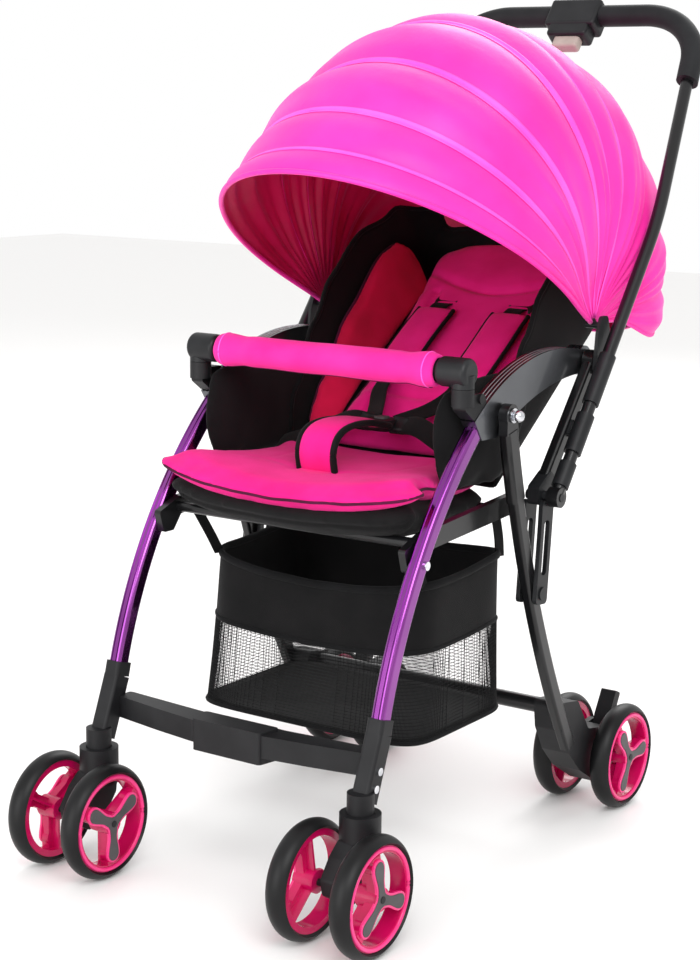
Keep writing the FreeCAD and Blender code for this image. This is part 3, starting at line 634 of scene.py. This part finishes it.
def closedForm(name, columns, rows, top, under, finish):
    # two sheets over the same outline, joined round their edge
    points = [f(i / (columns - 1), j / (rows - 1)) for f in (top, under)
              for j in range(rows) for i in range(columns)]
    size = columns * rows
    faces = []
    for j in range(rows - 1):
        for i in range(columns - 1):
            a = j * columns + i
            faces.append((a, a + 1, a + columns + 1, a + columns))
            faces.append((size + a, size + a + columns, size + a + columns + 1, size + a + 1))
    rim = [i for i in range(columns)] + [j * columns + columns - 1 for j in range(1, rows)]
    rim += [(rows - 1) * columns + i for i in range(columns - 2, -1, -1)]
    rim += [j * columns for j in range(rows - 2, 0, -1)]
    for a, b in zip(rim, rim[1:] + rim[:1]):
        faces.append((a, size + a, size + b, b))
    return meshPiece(name, points, faces, finish)


def pillow(u, v, hardness=6):
    # crown of a pad: full in the middle, pulled in at the edges
    across = max(0.0, 1 - abs(2 * u - 1) ** hardness)
    lengthways = max(0.0, 1 - abs(2 * v - 1) ** (hardness * 1.6))
    return math.sqrt(across * lengthways)


def sink(piece, route, width, depth, outward):
    # presses a sewn channel into the side of a pad that faces outward
    finder = kdtree.KDTree(len(route))
    for number, place in enumerate(route):
        finder.insert(place, number)
    finder.balance()
    for v in piece.data.vertices:
        near = finder.find(v.co)[2]
        if near < width * 3:
            v.co -= outward * depth * math.exp(-(near / width) ** 2)


def seatPlace(u, v, height):
    # u across, v from the back (0) to the front edge (1)
    s = 2 * u - 1
    x = s * between(min(v, 1.0), seat["halfWidth"])
    y = seat["back"] + (seat["front"] - seat["back"]) * v + seat["cornersBack"] * abs(s) ** 3 * v
    z = 451 + 9 * smooth(1 - 4 * v) + 6 * s * s * (1 - v)
    z += seat["cornersUp"] * s * s * smooth((v - 0.35) / 0.6) + 3 * math.sin(math.pi * v)
    return side(x, y, z + height)


def seatCushion():
    half = seat["thick"] / 2
    pad = closedForm("seatCushion", 45, 35, lambda u, v: seatPlace(u, v, half * pillow(u, v) + 1),
                     lambda u, v: seatPlace(u, v, -half * pillow(u, v) - 1), "seatKnit")
    inflate(pad, 0.005, 3.5, 0.006)
    up = Vector((0, 0, 1))
    for hand in (-1, 1):
        crease = [side(hand * (30 + 110 * t), -78 - 10 * t + 16 * math.sin(math.pi * t), 464)
                  for t in shares(24)]
        sink(pad, crease, 0.007, 0.004, up)
        channel = [side(hand * (92 - 10 * t), 44 - 92 * t, 464) for t in shares(24)]
        sink(pad, channel, 0.005, 0.0045, up)
    dish = [side(-26 + 52 * t, -84, 462) for t in shares(12)]
    sink(pad, dish, 0.012, 0.003, up)
    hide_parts("seat_pad")
    attach(pad, "frame")
    rim = [seatPlace(-0.02, 0.05 + 0.93 * t, -9) for t in shares(40)]
    rim += [seatPlace(-0.01 + 1.02 * t, 1.02, -9) for t in (i / 60 for i in range(1, 60))]
    rim += [seatPlace(1.02, 0.98 - 0.93 * t, -9) for t in shares(40)]
    edge = roundCord("seatPiping", hugging(pad, rim), 0.0017, "plumPiping")
    attach(edge, "frame")


def seatBase():
    # black padded base under the flap: a rolled front, and a belly that hangs lower behind it
    def surface(u, v, way):
        s = 2 * u - 1
        x = s * min(0.955 * between(v, seat["halfWidth"]), 173.0)
        y = seat["back"] - 4 + (seat["front"] + 9 - seat["back"]) * v + seat["cornersBack"] * abs(s) ** 3 * v
        top = seatPlace(u, v, -seat["thick"] / 2 - 1).z / millimetre
        low = 407 + 16 * smooth((v - 0.72) / 0.28) * (1 - 0.2 * s * s) + 8 * s * s * smooth((v - 0.5) / 0.5)
        low += 1.8 * noise.noise(Vector((s * 2.5, v * 5.0, 1.0)))
        full = pillow(u, v, 7)
        middle = (top + low) / 2
        return side(x, y, middle + way * (top - low) / 2 * max(0.12, full))
    base = closedForm("seatBase", 45, 33, lambda u, v: surface(u, v, 1), lambda u, v: surface(u, v, -1),
                      "blackOxford")
    inflate(base, 0.006, 3.0, 0.004)
    route = [side(-168 + 336 * t, -157 + 20 * abs(2 * t - 1) ** 3, 424 + 10 * (2 * t - 1) ** 2)
             for t in shares(60)]
    sink(base, route, 0.004, 0.0035, Vector((0, -1, -0.2)))
    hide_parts("seat_pan")
    attach(base, "frame")


sideWall = {
    "low": [(-62, 466), (-36, 456), (20, 450), (70, 452), (104, 466)],
    "high": [(-66, 572), (-20, 584), (40, 588), (100, 590), (150, 586)],
    "middle": 162.0,
    "puff": 6.0,
    "bulge": 20.0,            # how far the front edge rounds forward
}


def makeSideWall(name, hand):
    # soft black wall between the seat and the armrest, rounded at the front
    lowLine = curveThrough([Vector((0, *p)) for p in sideWall["low"]], 10)
    highLine = curveThrough([Vector((0, *p)) for p in sideWall["high"]], 10)

    def surface(u, v, way):
        k = u * (len(lowLine) - 1)
        i = min(int(k), len(lowLine) - 2)
        p = lowLine[i].lerp(lowLine[i + 1], k - i).lerp(highLine[i].lerp(highLine[i + 1], k - i), v)
        forward = sideWall["bulge"] * math.sin(math.pi * v) ** 0.7 * (1 - u) ** 5
        thick = sideWall["puff"] * max(0.15, pillow(u, v, 4)) * (1 - 0.35 * u)
        crease = 1.4 * noise.noise(Vector((p.y * 0.03, p.z * 0.02, hand * 4.0)))
        return side(hand * (sideWall["middle"] + way * thick + crease), p.y - forward, p.z)
    wall = closedForm(name, 50, 32, lambda u, v: surface(u, v, 1), lambda u, v: surface(u, v, -1),
                      "blackOxford")
    inflate(wall, 0.004, 3.0, 0.003)
    inward = Vector((hand, 0, 0))
    seam = [surface(0.10 + 0.03 * math.sin(math.pi * t), 0.06 + 0.88 * t, 0) for t in shares(30)]
    sink(wall, seam, 0.003, 0.0025, inward)
    if hand > 0:
        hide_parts("side_panels")
    attach(wall, "frame")


seatCushion()
seatBase()
makeSideWall("sideWallLeft", 1)
makeSideWall("sideWallRight", -1)
print("seat ready")

back = {
    "padHalf": 122.0,
    "padTop": 420.0,
    "wingBase": 112.0,
    "wingEdge": 146.0,
    "wingReach": [(40.0, 18.0), (64.0, 32.0), (90.0, 46.0), (190.0, 80.0), (290.0, 94.0), (330.0, 86.0),
                  (352.0, 60.0)],      # how far each height of a wing stands forward
    "hoodReach": [(-4.0, 12.0), (60.0, 66.0), (140.0, 110.0), (200.0, 132.0), (272.0, 138.0), (360.0, 114.0),
                  (424.0, 76.0)],
    "slotHeight": 282.0,
    "headSeam": 306.0,
}


def bucket():
    # black cloth bucket behind the liner: a flat back, walls at the sides and a low hood at the top
    def place(u, v):
        s = 2 * u - 1
        up = -4 + 428 * v
        wall = between(up, back["hoodReach"])
        half = 155 - 26 * smooth((v - 0.9) / 0.1) ** 2
        flat = 0.60
        if abs(s) < flat:
            x = s / flat * (half - 14)
            forward = -3.0
        else:
            t = (abs(s) - flat) / (1 - flat)
            turn = min(1.0, t / 0.22)
            x = math.copysign(half - 14 + 14 * math.sin(math.pi / 2 * turn), s)
            forward = -3 + 14 * (1 - math.cos(math.pi / 2 * turn)) + (wall - 14) * max(0.0, (t - 0.18) / 0.82)
        curl = 40 * smooth((v - 0.88) / 0.12) ** 2 * (1 - abs(s) ** 4)
        crease = 1.6 * noise.noise(Vector((s * 3.1, v * 4.0, 9.0)))
        return backPoint(x, up, forward + curl + crease)
    shell = gridPiece("backBucket", 91, 61, place, "blackOxford")
    addModifier(shell, "SOLIDIFY", thickness=0.004, offset=0)
    applyAll(shell)
    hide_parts("backrest_shell")
    attach(shell, "backrest")
    rim = [place(0, t / 40) for t in range(2, 41)] + [place(t / 80, 1) for t in range(1, 80)]
    rim += [place(1, 1 - t / 40) for t in range(0, 39)]
    hem = roundCord("bucketBinding", rim, 0.0032, "nylonWebbing")
    attach(hem, "backrest")


def padOutline(v):
    up = 10 + (back["padTop"] - 10) * v
    wide = back["padHalf"] - 12 * math.sin(math.pi * min(1.0, v / 0.7)) + 4 * smooth((v - 0.7) / 0.2)
    if v > 0.86:
        wide *= 0.5 + 0.5 * math.sqrt(max(0.0, 1 - ((v - 0.86) / 0.14) ** 2))
    return up, wide


def backCushion():
    # liner: one crowned pad with a fan-shaped head cushion and sewn channels
    def surface(u, v, way):
        up, wide = padOutline(v)
        crown = pillow(u, v, 5)
        head = 5 * smooth((up - back["headSeam"]) / 30) * crown
        forward = 14 + (9 * crown + head if way > 0 else -8 * crown)
        return backPoint((2 * u - 1) * wide, up, forward)
    pad = closedForm("backCushion", 45, 61, lambda u, v: surface(u, v, 1), lambda u, v: surface(u, v, -1),
                     "seatKnit")
    inflate(pad, 0.005, 3.5, 0.006)
    out = Vector((0, -math.cos(backLean), math.sin(backLean)))
    for x in (-66, 66):
        route = [backPoint(x * (1 + 0.22 * t * t), 60 + 240 * t, 27) for t in shares(40)]
        sink(pad, route, 0.006, 0.005, out)
    fan = [backPoint(-112 + 224 * t, back["headSeam"] + 34 * abs(2 * t - 1) ** 1.6, 29)
           for t in shares(50)]
    sink(pad, fan, 0.0055, 0.0065, out)
    waist = [backPoint(-112 + 224 * t, 118 - 16 * math.sin(math.pi * t), 27) for t in shares(50)]
    sink(pad, waist, 0.006, 0.0045, out)
    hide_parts("backrest_pad")
    attach(pad, "backrest")
    upward = [padOutline(0.04 + 0.94 * i / 50) for i in range(51)]
    downward = [padOutline(0.98 - 0.94 * i / 50) for i in range(51)]
    edge = [backPoint(-wide - 3, up, 15) for up, wide in upward]
    edge += [backPoint(wide + 3, up, 15) for up, wide in downward]
    bead = roundCord("backPiping", hugging(pad, edge), 0.0018, "plumPiping")
    attach(bead, "backrest")


def backWing(name, hand):
    # paddle that stands forward beside the child, narrow below and rounded at the top
    def centre(u, v):
        up = 40 + 312 * v
        reach = between(up, back["wingReach"])
        x = back["wingBase"] + (back["wingEdge"] - back["wingBase"]) * u ** 0.8
        lift = 22 * smooth((v - 0.72) / 0.28) * (1 - u) ** 2
        return x, up - lift, 9 + (reach - 9) * u

    def surface(u, v, way):
        x, up, forward = centre(u, v)
        slope = math.atan2(forward - 9 + 4, x - back["wingBase"] + 4)
        thick = way * 8.5 * max(0.1, pillow(u, v, 4))
        return backPoint(hand * (x - thick * math.sin(slope)), up, forward + thick * math.cos(slope))
    # the wing takes the darker red knit: painted shade
    wing = closedForm(name, 26, 50, lambda u, v: surface(u, v, 1), lambda u, v: surface(u, v, -1), "wingKnitPaintedShade")
    inflate(wing, 0.004, 3.0, 0.003)
    attach(wing, "backrest")
    route = [surface(1.0, t, 0) for t in (0.02 + 0.96 * i / 50 for i in range(51))]
    route += [surface(1 - t, 1.0, 0) for t in (i / 16 for i in range(1, 16))]
    bead = roundCord(name + "Piping", hugging(wing, route), 0.0020, "plumPiping")
    attach(bead, "backrest")


bucket()
backCushion()
backWing("backWingLeft", 1)
backWing("backWingRight", -1)
print("backrest ready")

harness = {
    "strapWidth": 0.026,
    "strapThick": 0.0018,
    "shoulderX": 56.0,
    "padWidth": 0.052,
}


def puffedStrip(name, route, across, width, thick, finish):
    # padded strap sleeve: a closed crowned strip along a route
    points = []
    ring = 24
    for n, centre in enumerate(route):
        ahead, behind = route[min(n + 1, len(route) - 1)], route[max(n - 1, 0)]
        up = (ahead - behind).normalized().cross(across).normalized()
        t = n / (len(route) - 1)
        full = max(0.05, (1 - abs(2 * t - 1) ** 8)) ** 0.5
        for i in range(ring):
            a = 2 * math.pi * i / ring
            c, s = math.cos(a), math.sin(a)
            points.append(centre + across * math.copysign(abs(c) ** 0.6, c) * width / 2 * (0.9 + 0.1 * full)
                          + up * math.copysign(abs(s) ** 0.8, s) * thick / 2 * full)
    return meshPiece(name, points, loftFaces(len(route), ring), finish)


def edgeBeads(name, route, across, width, body, radius):
    for hand, tag in ((-1, "Right"), (1, "Left")):
        bead = roundCord(name + tag, [centre + across * hand * width / 2 for centre in route], radius,
                         "nylonWebbing")
        attach(bead, body)


def shoulderHarness(name, hand):
    x = hand * harness["shoulderX"]
    slot = back["slotHeight"]
    across = Vector((1, 0, 0))
    buckleLow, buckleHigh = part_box("harness_buckle")
    upper = curveThrough([backPoint(x, slot + 2, 20), backPoint(x, slot - 12, 33),
                          backPoint(x, slot - 40, 37), backPoint(x * 1.02, 190, 39),
                          backPoint(x, 122, 40)], 9)
    strap = webbing("shoulderStrap" + name, upper, across, harness["strapWidth"], harness["strapThick"],
                    "nylonWebbing")
    cover = upper[14:]
    pad = puffedStrip("shoulderPad" + name, cover, across, harness["padWidth"], 0.014, "seatKnit")
    end = Vector((hand * 0.020, (buckleLow.y + buckleHigh.y) / 2 + 0.012, buckleHigh.z - 0.002))
    lower = curveThrough([backPoint(x, 126, 40), backPoint(x * 0.96, 96, 42), backPoint(x * 0.72, 66, 46),
                          end], 8)
    tail = webbing("strapTail" + name, lower, Vector((0.96, 0, -0.28 * hand)).normalized(),
                   harness["strapWidth"], harness["strapThick"], "nylonWebbing")
    frameRound = webbing("strapSlot" + name, [backPoint(x, slot + 10, 25), backPoint(x, slot, 27),
                                              backPoint(x, slot - 10, 25)], across, 0.036, 0.004, "absBlack")
    if hand > 0:
        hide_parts("shoulder_straps")
        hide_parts("shoulder_pads")
    for piece, slotName in ((strap, "black_webbing"), (pad, "pink_knit"), (tail, "black_webbing"),
                            (frameRound, "black_plastic")):
        attach(piece, "backrest")
    edgeBeads("shoulderBead" + name, cover, across, harness["padWidth"], "backrest", 0.003)


def crotchPad():
    across = Vector((1, 0, 0))
    route = curveThrough([side(0, -73, 464), side(0, -77, 490), side(0, -67, 509), side(0, -42, 518),
                          side(0, 0, 517), side(0, 42, 508)], 9)
    pad = puffedStrip("crotchPad", route, across, 0.046, 0.011, "seatKnit")
    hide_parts("crotch_pad")
    attach(pad, "frame")
    edgeBeads("crotchBead", route, across, 0.050, "frame", 0.0042)


def buckle():
    # two-prong buckle: a shouldered body with a raised square button, and its two tongues
    low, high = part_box("harness_buckle")
    middle = (low + high) / 2
    size = high - low

    def body(u, v):
        t = 2 * math.pi * u
        c, s = math.cos(t), math.sin(t)
        level = [(-1.0, 0.86), (-0.82, 0.97), (0.55, 1.0), (0.9, 0.93), (1.0, 0.72), (1.0, 0.02)]
        k = v * (len(level) - 1)
        i = min(int(k), len(level) - 2)
        z = level[i][0] + (level[i + 1][0] - level[i][0]) * (k - i)
        wide = level[i][1] + (level[i + 1][1] - level[i][1]) * (k - i)
        x = math.copysign(abs(c) ** 0.5, c) * wide * size.x / 2
        y = math.copysign(abs(s) ** 0.5, s) * wide * size.y / 2 * (1 - 0.12 * math.cos(t) ** 2)
        return middle + Vector((x, y, z * size.z / 2))
    shell = gridPiece("buckleBody", 40, 16, body, "absBlack", closed=True)
    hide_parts("harness_buckle")

    def button(u, v):
        t = 2 * math.pi * u
        c, s = math.cos(t), math.sin(t)
        wide = (1.0, 1.0, 0.94, 0.02)[min(3, int(v * 3 + 0.5))]
        z = (0, 0.0022, 0.0032, 0.0032)[min(3, int(v * 3 + 0.5))]
        x = math.copysign(abs(c) ** 0.6, c) * 0.009 * wide
        y = math.copysign(abs(s) ** 0.6, s) * 0.008 * wide
        return Vector((middle.x + x, middle.y + y, high.z - 0.0006 + z))
    key = gridPiece("buckleButton", 28, 4, button, "inlayGrey", closed=True)
    for piece in (shell, key):
        attach(piece, "frame")
    flat = Vector((0, 0.8, 0.6)).normalized()
    for name, hand in (("Left", 1), ("Right", -1)):
        start = middle + Vector((hand * 0.026, 0.004, 0))
        route = curveThrough([start, side(hand * 52, 62, 507), side(hand * 84, 58, 494),
                              side(hand * 122, 54, 477), side(hand * 150, 52, 468)], 9)
        strap = puffedStrip("waistStrap" + name, route, flat, 0.030, 0.007, "blackOxford")
        if hand > 0:
            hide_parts("waist_straps")
        attach(strap, "frame")
        plate = [middle + Vector((hand * d, 0.002, 0)) for d in (0.014, 0.024, 0.034)]
        tongue = webbing("buckleTongue" + name, plate, flat, 0.022, 0.008, "absBlack")
        attach(tongue, "frame")


shoulderHarness("Left", 1)
shoulderHarness("Right", -1)
crotchPad()
buckle()
print("harness ready")

# bright ribs let into the grooves along each armrest's back

armrest = {
    "arc": [(-46.0, 541.0), (40.0, 589.0), (198.0, 600.0)],    # (y, z) through which the curved back runs
    "ribs": (-5.0, 0.0, 5.0),
    "middle": 187.0,
    "radius": 1.0,
}


def arcCentre(a, b, c):
    # middle of the circle through three (y, z) places
    d = 2 * (a[0] * (b[1] - c[1]) + b[0] * (c[1] - a[1]) + c[0] * (a[1] - b[1]))
    squares = [p[0] ** 2 + p[1] ** 2 for p in (a, b, c)]
    y = (squares[0] * (b[1] - c[1]) + squares[1] * (c[1] - a[1]) + squares[2] * (a[1] - b[1])) / d
    z = (squares[0] * (c[0] - b[0]) + squares[1] * (a[0] - c[0]) + squares[2] * (b[0] - a[0])) / d
    return y, z


def armrestRibs():
    first, _, last = armrest["arc"]
    y, z = arcCentre(*armrest["arc"])
    reach = math.hypot(first[0] - y, first[1] - z) - 0.4
    start = math.atan2(first[1] - z, first[0] - y) - 0.01
    stop = math.atan2(last[1] - z, last[0] - y) + 0.10
    for hand, tag in ((1, "Left"), (-1, "Right")):
        for number, offset in enumerate(armrest["ribs"]):
            angles = [start + (stop - start) * i / 50 for i in range(51)]
            x = hand * (armrest["middle"] + offset)
            route = [side(x, y + reach * math.cos(a), z + reach * math.sin(a)) for a in angles]
            rib = roundCord(f"armrestRib{tag}{number}", route, armrest["radius"] * millimetre, "silverStrip")
            attach(rib, "frame")


armrestRibs()
print("armrests ready")

# bumper cover: a sewn sleeve, a little loose

bumper = {
    "wrinkle": 0.9,           # mm, as is the hem's extra radius
    "hem": 1.5,
}


def bumperCover():
    low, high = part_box("bumper_cover")
    middle = (low + high) / 2
    radius = (high.z - low.z) / 2 / millimetre

    def place(u, v):
        x = low.x + (high.x - low.x) * v
        t = 2 * math.pi * u
        hem = bumper["hem"] * sum(math.exp(-((v - c) / 0.035) ** 2) for c in (0.05, 0.95))
        waist = -1.1 * sum(math.exp(-((v - c) / 0.03) ** 2) for c in (0.13, 0.87))
        swell = bumper["wrinkle"] * noise.noise(Vector((v * 6, math.cos(t) * 1.2, math.sin(t) * 1.2)))
        end = math.sqrt(max(0.0, 1 - max(0.0, (0.03 - v) / 0.03, (v - 0.97) / 0.03) ** 2.2))
        r = (radius + hem + waist + swell) * millimetre * (0.80 + 0.20 * end)
        return Vector((x, middle.y + r * math.cos(t), middle.z + r * math.sin(t)))
    cover = gridPiece("bumperSleeve", 44, 121, place, "bumperKnit", closed=True)
    addModifier(cover, "SOLIDIFY", thickness=0.002, offset=-1)
    applyAll(cover)
    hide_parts("bumper_cover")
    attach(cover, "bumper")
    for name, v in (("bumperHemLeft", 0.962), ("bumperHemRight", 0.038)):
        ring = roundCord(name, [place(t / 48, v) for t in range(48)], 0.0009, "ribbonNylon", closed=True)
        attach(ring, "bumper")
    seam = roundCord("bumperSeam", [place(0.72, t / 90) for t in range(2, 89)], 0.0008, "plumPiping")
    attach(seam, "bumper")


bumperCover()
print("bumper ready")

# basket: a bag with a cloth band, a see-through mesh body and a stiff floor

basket = {
    "cell": 4.0,              # mesh pitch; the real one is about 2 mm
    "thread": 1.0,
    "band": 0.42,             # share of the height that is the cloth band
    "floorZ": 162.0,
    "sag": 3.5,
    "straps": [((148, -70, 348), (150, -108, 404)), ((148, 100, 354), (160, 66, 416))],    # front, rear
}


def basketRing(u, depth):
    # depth 0 at the top edge, 1 at the floor
    t = 2 * math.pi * u
    c, s = math.cos(t), math.sin(t)
    corner = 0.30
    across = math.copysign(abs(c) ** corner, c)
    lengthways = math.copysign(abs(s) ** corner, s)
    front, rear = -82 - 26 * depth ** 0.8, 110 + 4 * depth
    x = across * (157 + 3 * depth)
    y = (front + rear) / 2 + lengthways * (rear - front) / 2
    middle = 1 - (abs(x) / 160.0) ** 2
    droop = (18 * smooth(-lengthways), 8 * smooth(lengthways))         # front and rear top edges
    topZ = 351 + 9 * smooth((y + 20) / 120) - droop[0] * middle - droop[1] * middle
    z = topZ + (basket["floorZ"] + 6 - topZ) * depth
    pull = basket["sag"] * math.sin(math.pi * depth) * (0.6 + 0.4 * math.sin(7 * t))
    return side(x * (1 - pull / 320), y - lengthways * pull * 0.7, z)


def floorPlace(u, v, height):
    # square board bent to the bag's rounded outline
    a, b = 2 * u - 1, 2 * v - 1
    share = max(abs(a), abs(b))
    edge = basketRing((math.atan2(b, a) / (2 * math.pi)) % 1.0, 1.0)
    place = side(0, 4, basket["floorZ"] - 1).lerp(edge, share * 0.995)
    place.z += (height + 3.0 * share ** 4) * millimetre - 0.001
    return place


def makeBasket():
    split = basket["band"]
    band = gridPiece("basketBand", 160, 15, lambda u, v: basketRing(u, split * v), "blackOxford", closed=True)
    addModifier(band, "SOLIDIFY", thickness=0.0016, offset=-1)
    applyAll(band)
    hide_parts("basket")
    columns, rows = int(940 / basket["cell"]), int(108 / basket["cell"])
    mesh = gridPiece("basketMesh", columns, rows, lambda u, v: basketRing(u, split + (1 - split) * v),
                     "basketMesh", closed=True)
    addModifier(mesh, "WIREFRAME", thickness=basket["thread"] * millimetre, use_replace=True,
                use_even_offset=False)
    applyAll(mesh)
    floor = closedForm("basketFloor", 25, 21, lambda u, v: floorPlace(u, v, 1.6),
                       lambda u, v: floorPlace(u, v, -1.6), "blackOxford")
    edges = [roundCord(name, [basketRing(i / 160, depth) for i in range(160)], radius, "nylonWebbing",
                       closed=True, flatten=flatten)
             for name, depth, radius, flatten in (("basketTopBinding", 0.0, 0.0036, 1.4),
                                                  ("basketBandSeam", split, 0.0018, 1.6),
                                                  ("basketFloorBinding", 1.0, 0.0026, 1.0))]
    straps = []
    for number in range(4):
        hand = 1 - 2 * (number % 2)
        (x, y, z), (topX, topY, topZ) = basket["straps"][number // 2]
        bend = side(hand * (x + topX) / 2, (y + topY) / 2 + 3, (z + topZ) / 2 - 3)
        route = curveThrough([side(hand * x, y, z), bend, side(hand * topX, topY, topZ)], 6)
        straps.append(webbing(f"basketStrap{number}", route, Vector((0.2, 1, 0)).normalized(), 0.016, 0.0016,
                              "nylonWebbing"))
    for piece in (band, mesh, floor, *edges, *straps):
        attach(piece, "frame")


makeBasket()
print("basket ready")

# wheels: grey inlays on the outward faces, and a lip on each rim in a lighter pink that is painted light

wheel = {
    "turns": {("front", "left"): 10.0, ("front", "right"): 60.0, ("rear", "left"): 35.0,
              ("rear", "right"): 80.0},        # where each pair of wheels has stopped
    "lobe": {"waist": 7.6, "bulb": 10.6, "reach": 36.4, "low": 10.4, "high": 13.4},
    "inlay": {"waist": 5.0, "bulb": 8.2, "reach": 36.4, "low": 13.0, "high": 14.3},
    "centre": 6.4,            # an arm's profile starts this far from the axle
    "edge": 0.7,              # rounding of the outward corners
}


def lobeOutline(turn, waist, bulb, reach):
    # outline of the three arms, one after another, as (y, z) in mm round the axle
    points = []
    start = wheel["centre"]
    steps = [start + (reach - start) * i / 10 for i in range(11)]
    profile = [(s, between(s, [(start, waist + 1.0), (15.0, waist), (reach, bulb)])) for s in steps]
    for lobe in range(3):
        angle = math.radians(90 + turn + 120 * lobe)
        along = Vector((math.cos(angle), math.sin(angle)))
        across = Vector((-along.y, along.x))
        points += [along * s - across * w for s, w in profile]
        for i in range(1, 14):
            t = -math.pi / 2 + math.pi * i / 14
            points.append(along * (reach + bulb * math.cos(t)) + across * bulb * math.sin(t))
        points += [along * s + across * w for s, w in reversed(profile)]
    return points


def wheelPlate(name, centre, outward, turn, shape, finish):
    # three-armed plate with rounded outward corners
    edge = wheel["edge"]
    points = []
    top = shape["high"]
    levels = ((0, shape["low"]), (0, top - edge), (edge * 0.3, top - edge * 0.3), (edge, top))
    for inset, depth in levels:
        points += [centre + Vector((outward * depth, p.x, p.y)) * millimetre
                   for p in lobeOutline(turn, shape["waist"] - inset, shape["bulb"] - inset, shape["reach"])]
    return meshPiece(name, points, loftFaces(len(levels), len(points) // len(levels)), finish,
                     smoothShade=False)


def dressWheel(end, hand, twin):
    # pink arms over the hub, a grey inlay on them, and a lip round the rim; arms and lip are the rim's pink
    # made lighter, painted light on the face
    centre = Vector(joints[f"wheel_spin_{end}_{hand}_{twin}"]["pos_m"])
    outward = (1 if hand == "left" else -1) * (1 if twin == "outer" else -1)
    turn = wheel["turns"][end, hand]
    label = f"{end}_{hand}_{twin}"
    arms = wheelPlate("arms_" + label, centre, outward, turn, wheel["lobe"], "rimLipPaintedLight")
    inlay = wheelPlate("inlay_" + label, centre, outward, turn, wheel["inlay"], "inlayGrey")
    lip = [centre + Vector((outward * 10.2, math.cos(2 * math.pi * i / 96) * 54.4,
                            math.sin(2 * math.pi * i / 96) * 54.4)) * millimetre for i in range(96)]
    bead = roundCord("rimLipPaintedLight_" + label, lip, 0.0026, "rimLipPaintedLight", closed=True)
    for piece, slot in ((arms, "pink_rim"), (inlay, "black_plastic"), (bead, "pink_rim")):
        attach(piece, "wheel_" + label)


for end in ("front", "rear"):
    for hand in ("left", "right"):
        for twin in ("outer", "inner"):
            dressWheel(end, hand, twin)
print("wheels ready")


# camera, floor and light

view = {
    "place": (1.3111, -1.9100, 0.8875),        # from the middle of the wheelbase, metres
    "heading": 34.549,
    "down": 10.811,
    "roll": -0.706,
    "lens": 73.61,
}


def addCamera():
    data = bpy.data.cameras.new("viewCamera")
    data.sensor_fit = "VERTICAL"
    data.sensor_height = 36.0
    data.lens = view["lens"]
    camera = bpy.data.objects.new("viewCamera", data)
    bpy.context.scene.collection.objects.link(camera)
    heading, down, roll = (math.radians(view[k]) for k in ("heading", "down", "roll"))
    ahead = Vector((-math.sin(heading) * math.cos(down), math.cos(heading) * math.cos(down), -math.sin(down)))
    right = Vector((math.cos(heading), math.sin(heading), 0))
    under = -right.cross(ahead)
    across = right * math.cos(roll) + under * math.sin(roll)
    below = under * math.cos(roll) - right * math.sin(roll)
    turn = Matrix((across, -below, -ahead)).transposed().to_4x4()
    x, y, z = view["place"]
    camera.matrix_world = Matrix.Translation((x, y + middleY, z)) @ turn
    bpy.context.scene.camera = camera


studio = {
    "floor": "#F4F3F2",
    "key": (90.0, 2.2, (2.2, -2.4, 3.0)),        # watts, size, place
    "fill": (52.0, 2.4, (-0.4, -3.4, 0.9)),
    "rim": (60.0, 2.0, (-0.8, 3.0, 2.8)),
}


def addStudio():
    made = bmesh.new()
    bmesh.ops.create_grid(made, x_segments=1, y_segments=1, size=8.0)
    mesh = bpy.data.meshes.new("studioFloor")
    made.to_mesh(mesh)
    made.free()
    floor = bpy.data.objects.new("studioFloor", mesh)
    mesh.materials.append(startMaterial("paintedFloor", studio["floor"], 0.75)[0])
    bpy.context.scene.collection.objects.link(floor)
    world = bpy.data.worlds.new("softRoom")
    world.use_nodes = True
    world.node_tree.nodes["Background"].inputs["Color"].default_value = linearColour("#FFFFFF")
    world.node_tree.nodes["Background"].inputs["Strength"].default_value = 1.0
    bpy.context.scene.world = world
    bpy.context.scene.view_settings.view_transform = "Standard"    # keeps the pinks full
    for name in ("key", "fill", "rim"):
        power, size, place = studio[name]
        data = bpy.data.lights.new(name + "Light", "AREA")
        data.energy, data.size = power, size
        lamp = bpy.data.objects.new(name + "Light", data)
        lamp.location = place
        lamp.rotation_euler = (Vector((0, 0, 0.5)) - Vector(place)).to_track_quat("-Z", "Y").to_euler()
        bpy.context.scene.collection.objects.link(lamp)


addCamera()
addStudio()
print("camera and studio ready")
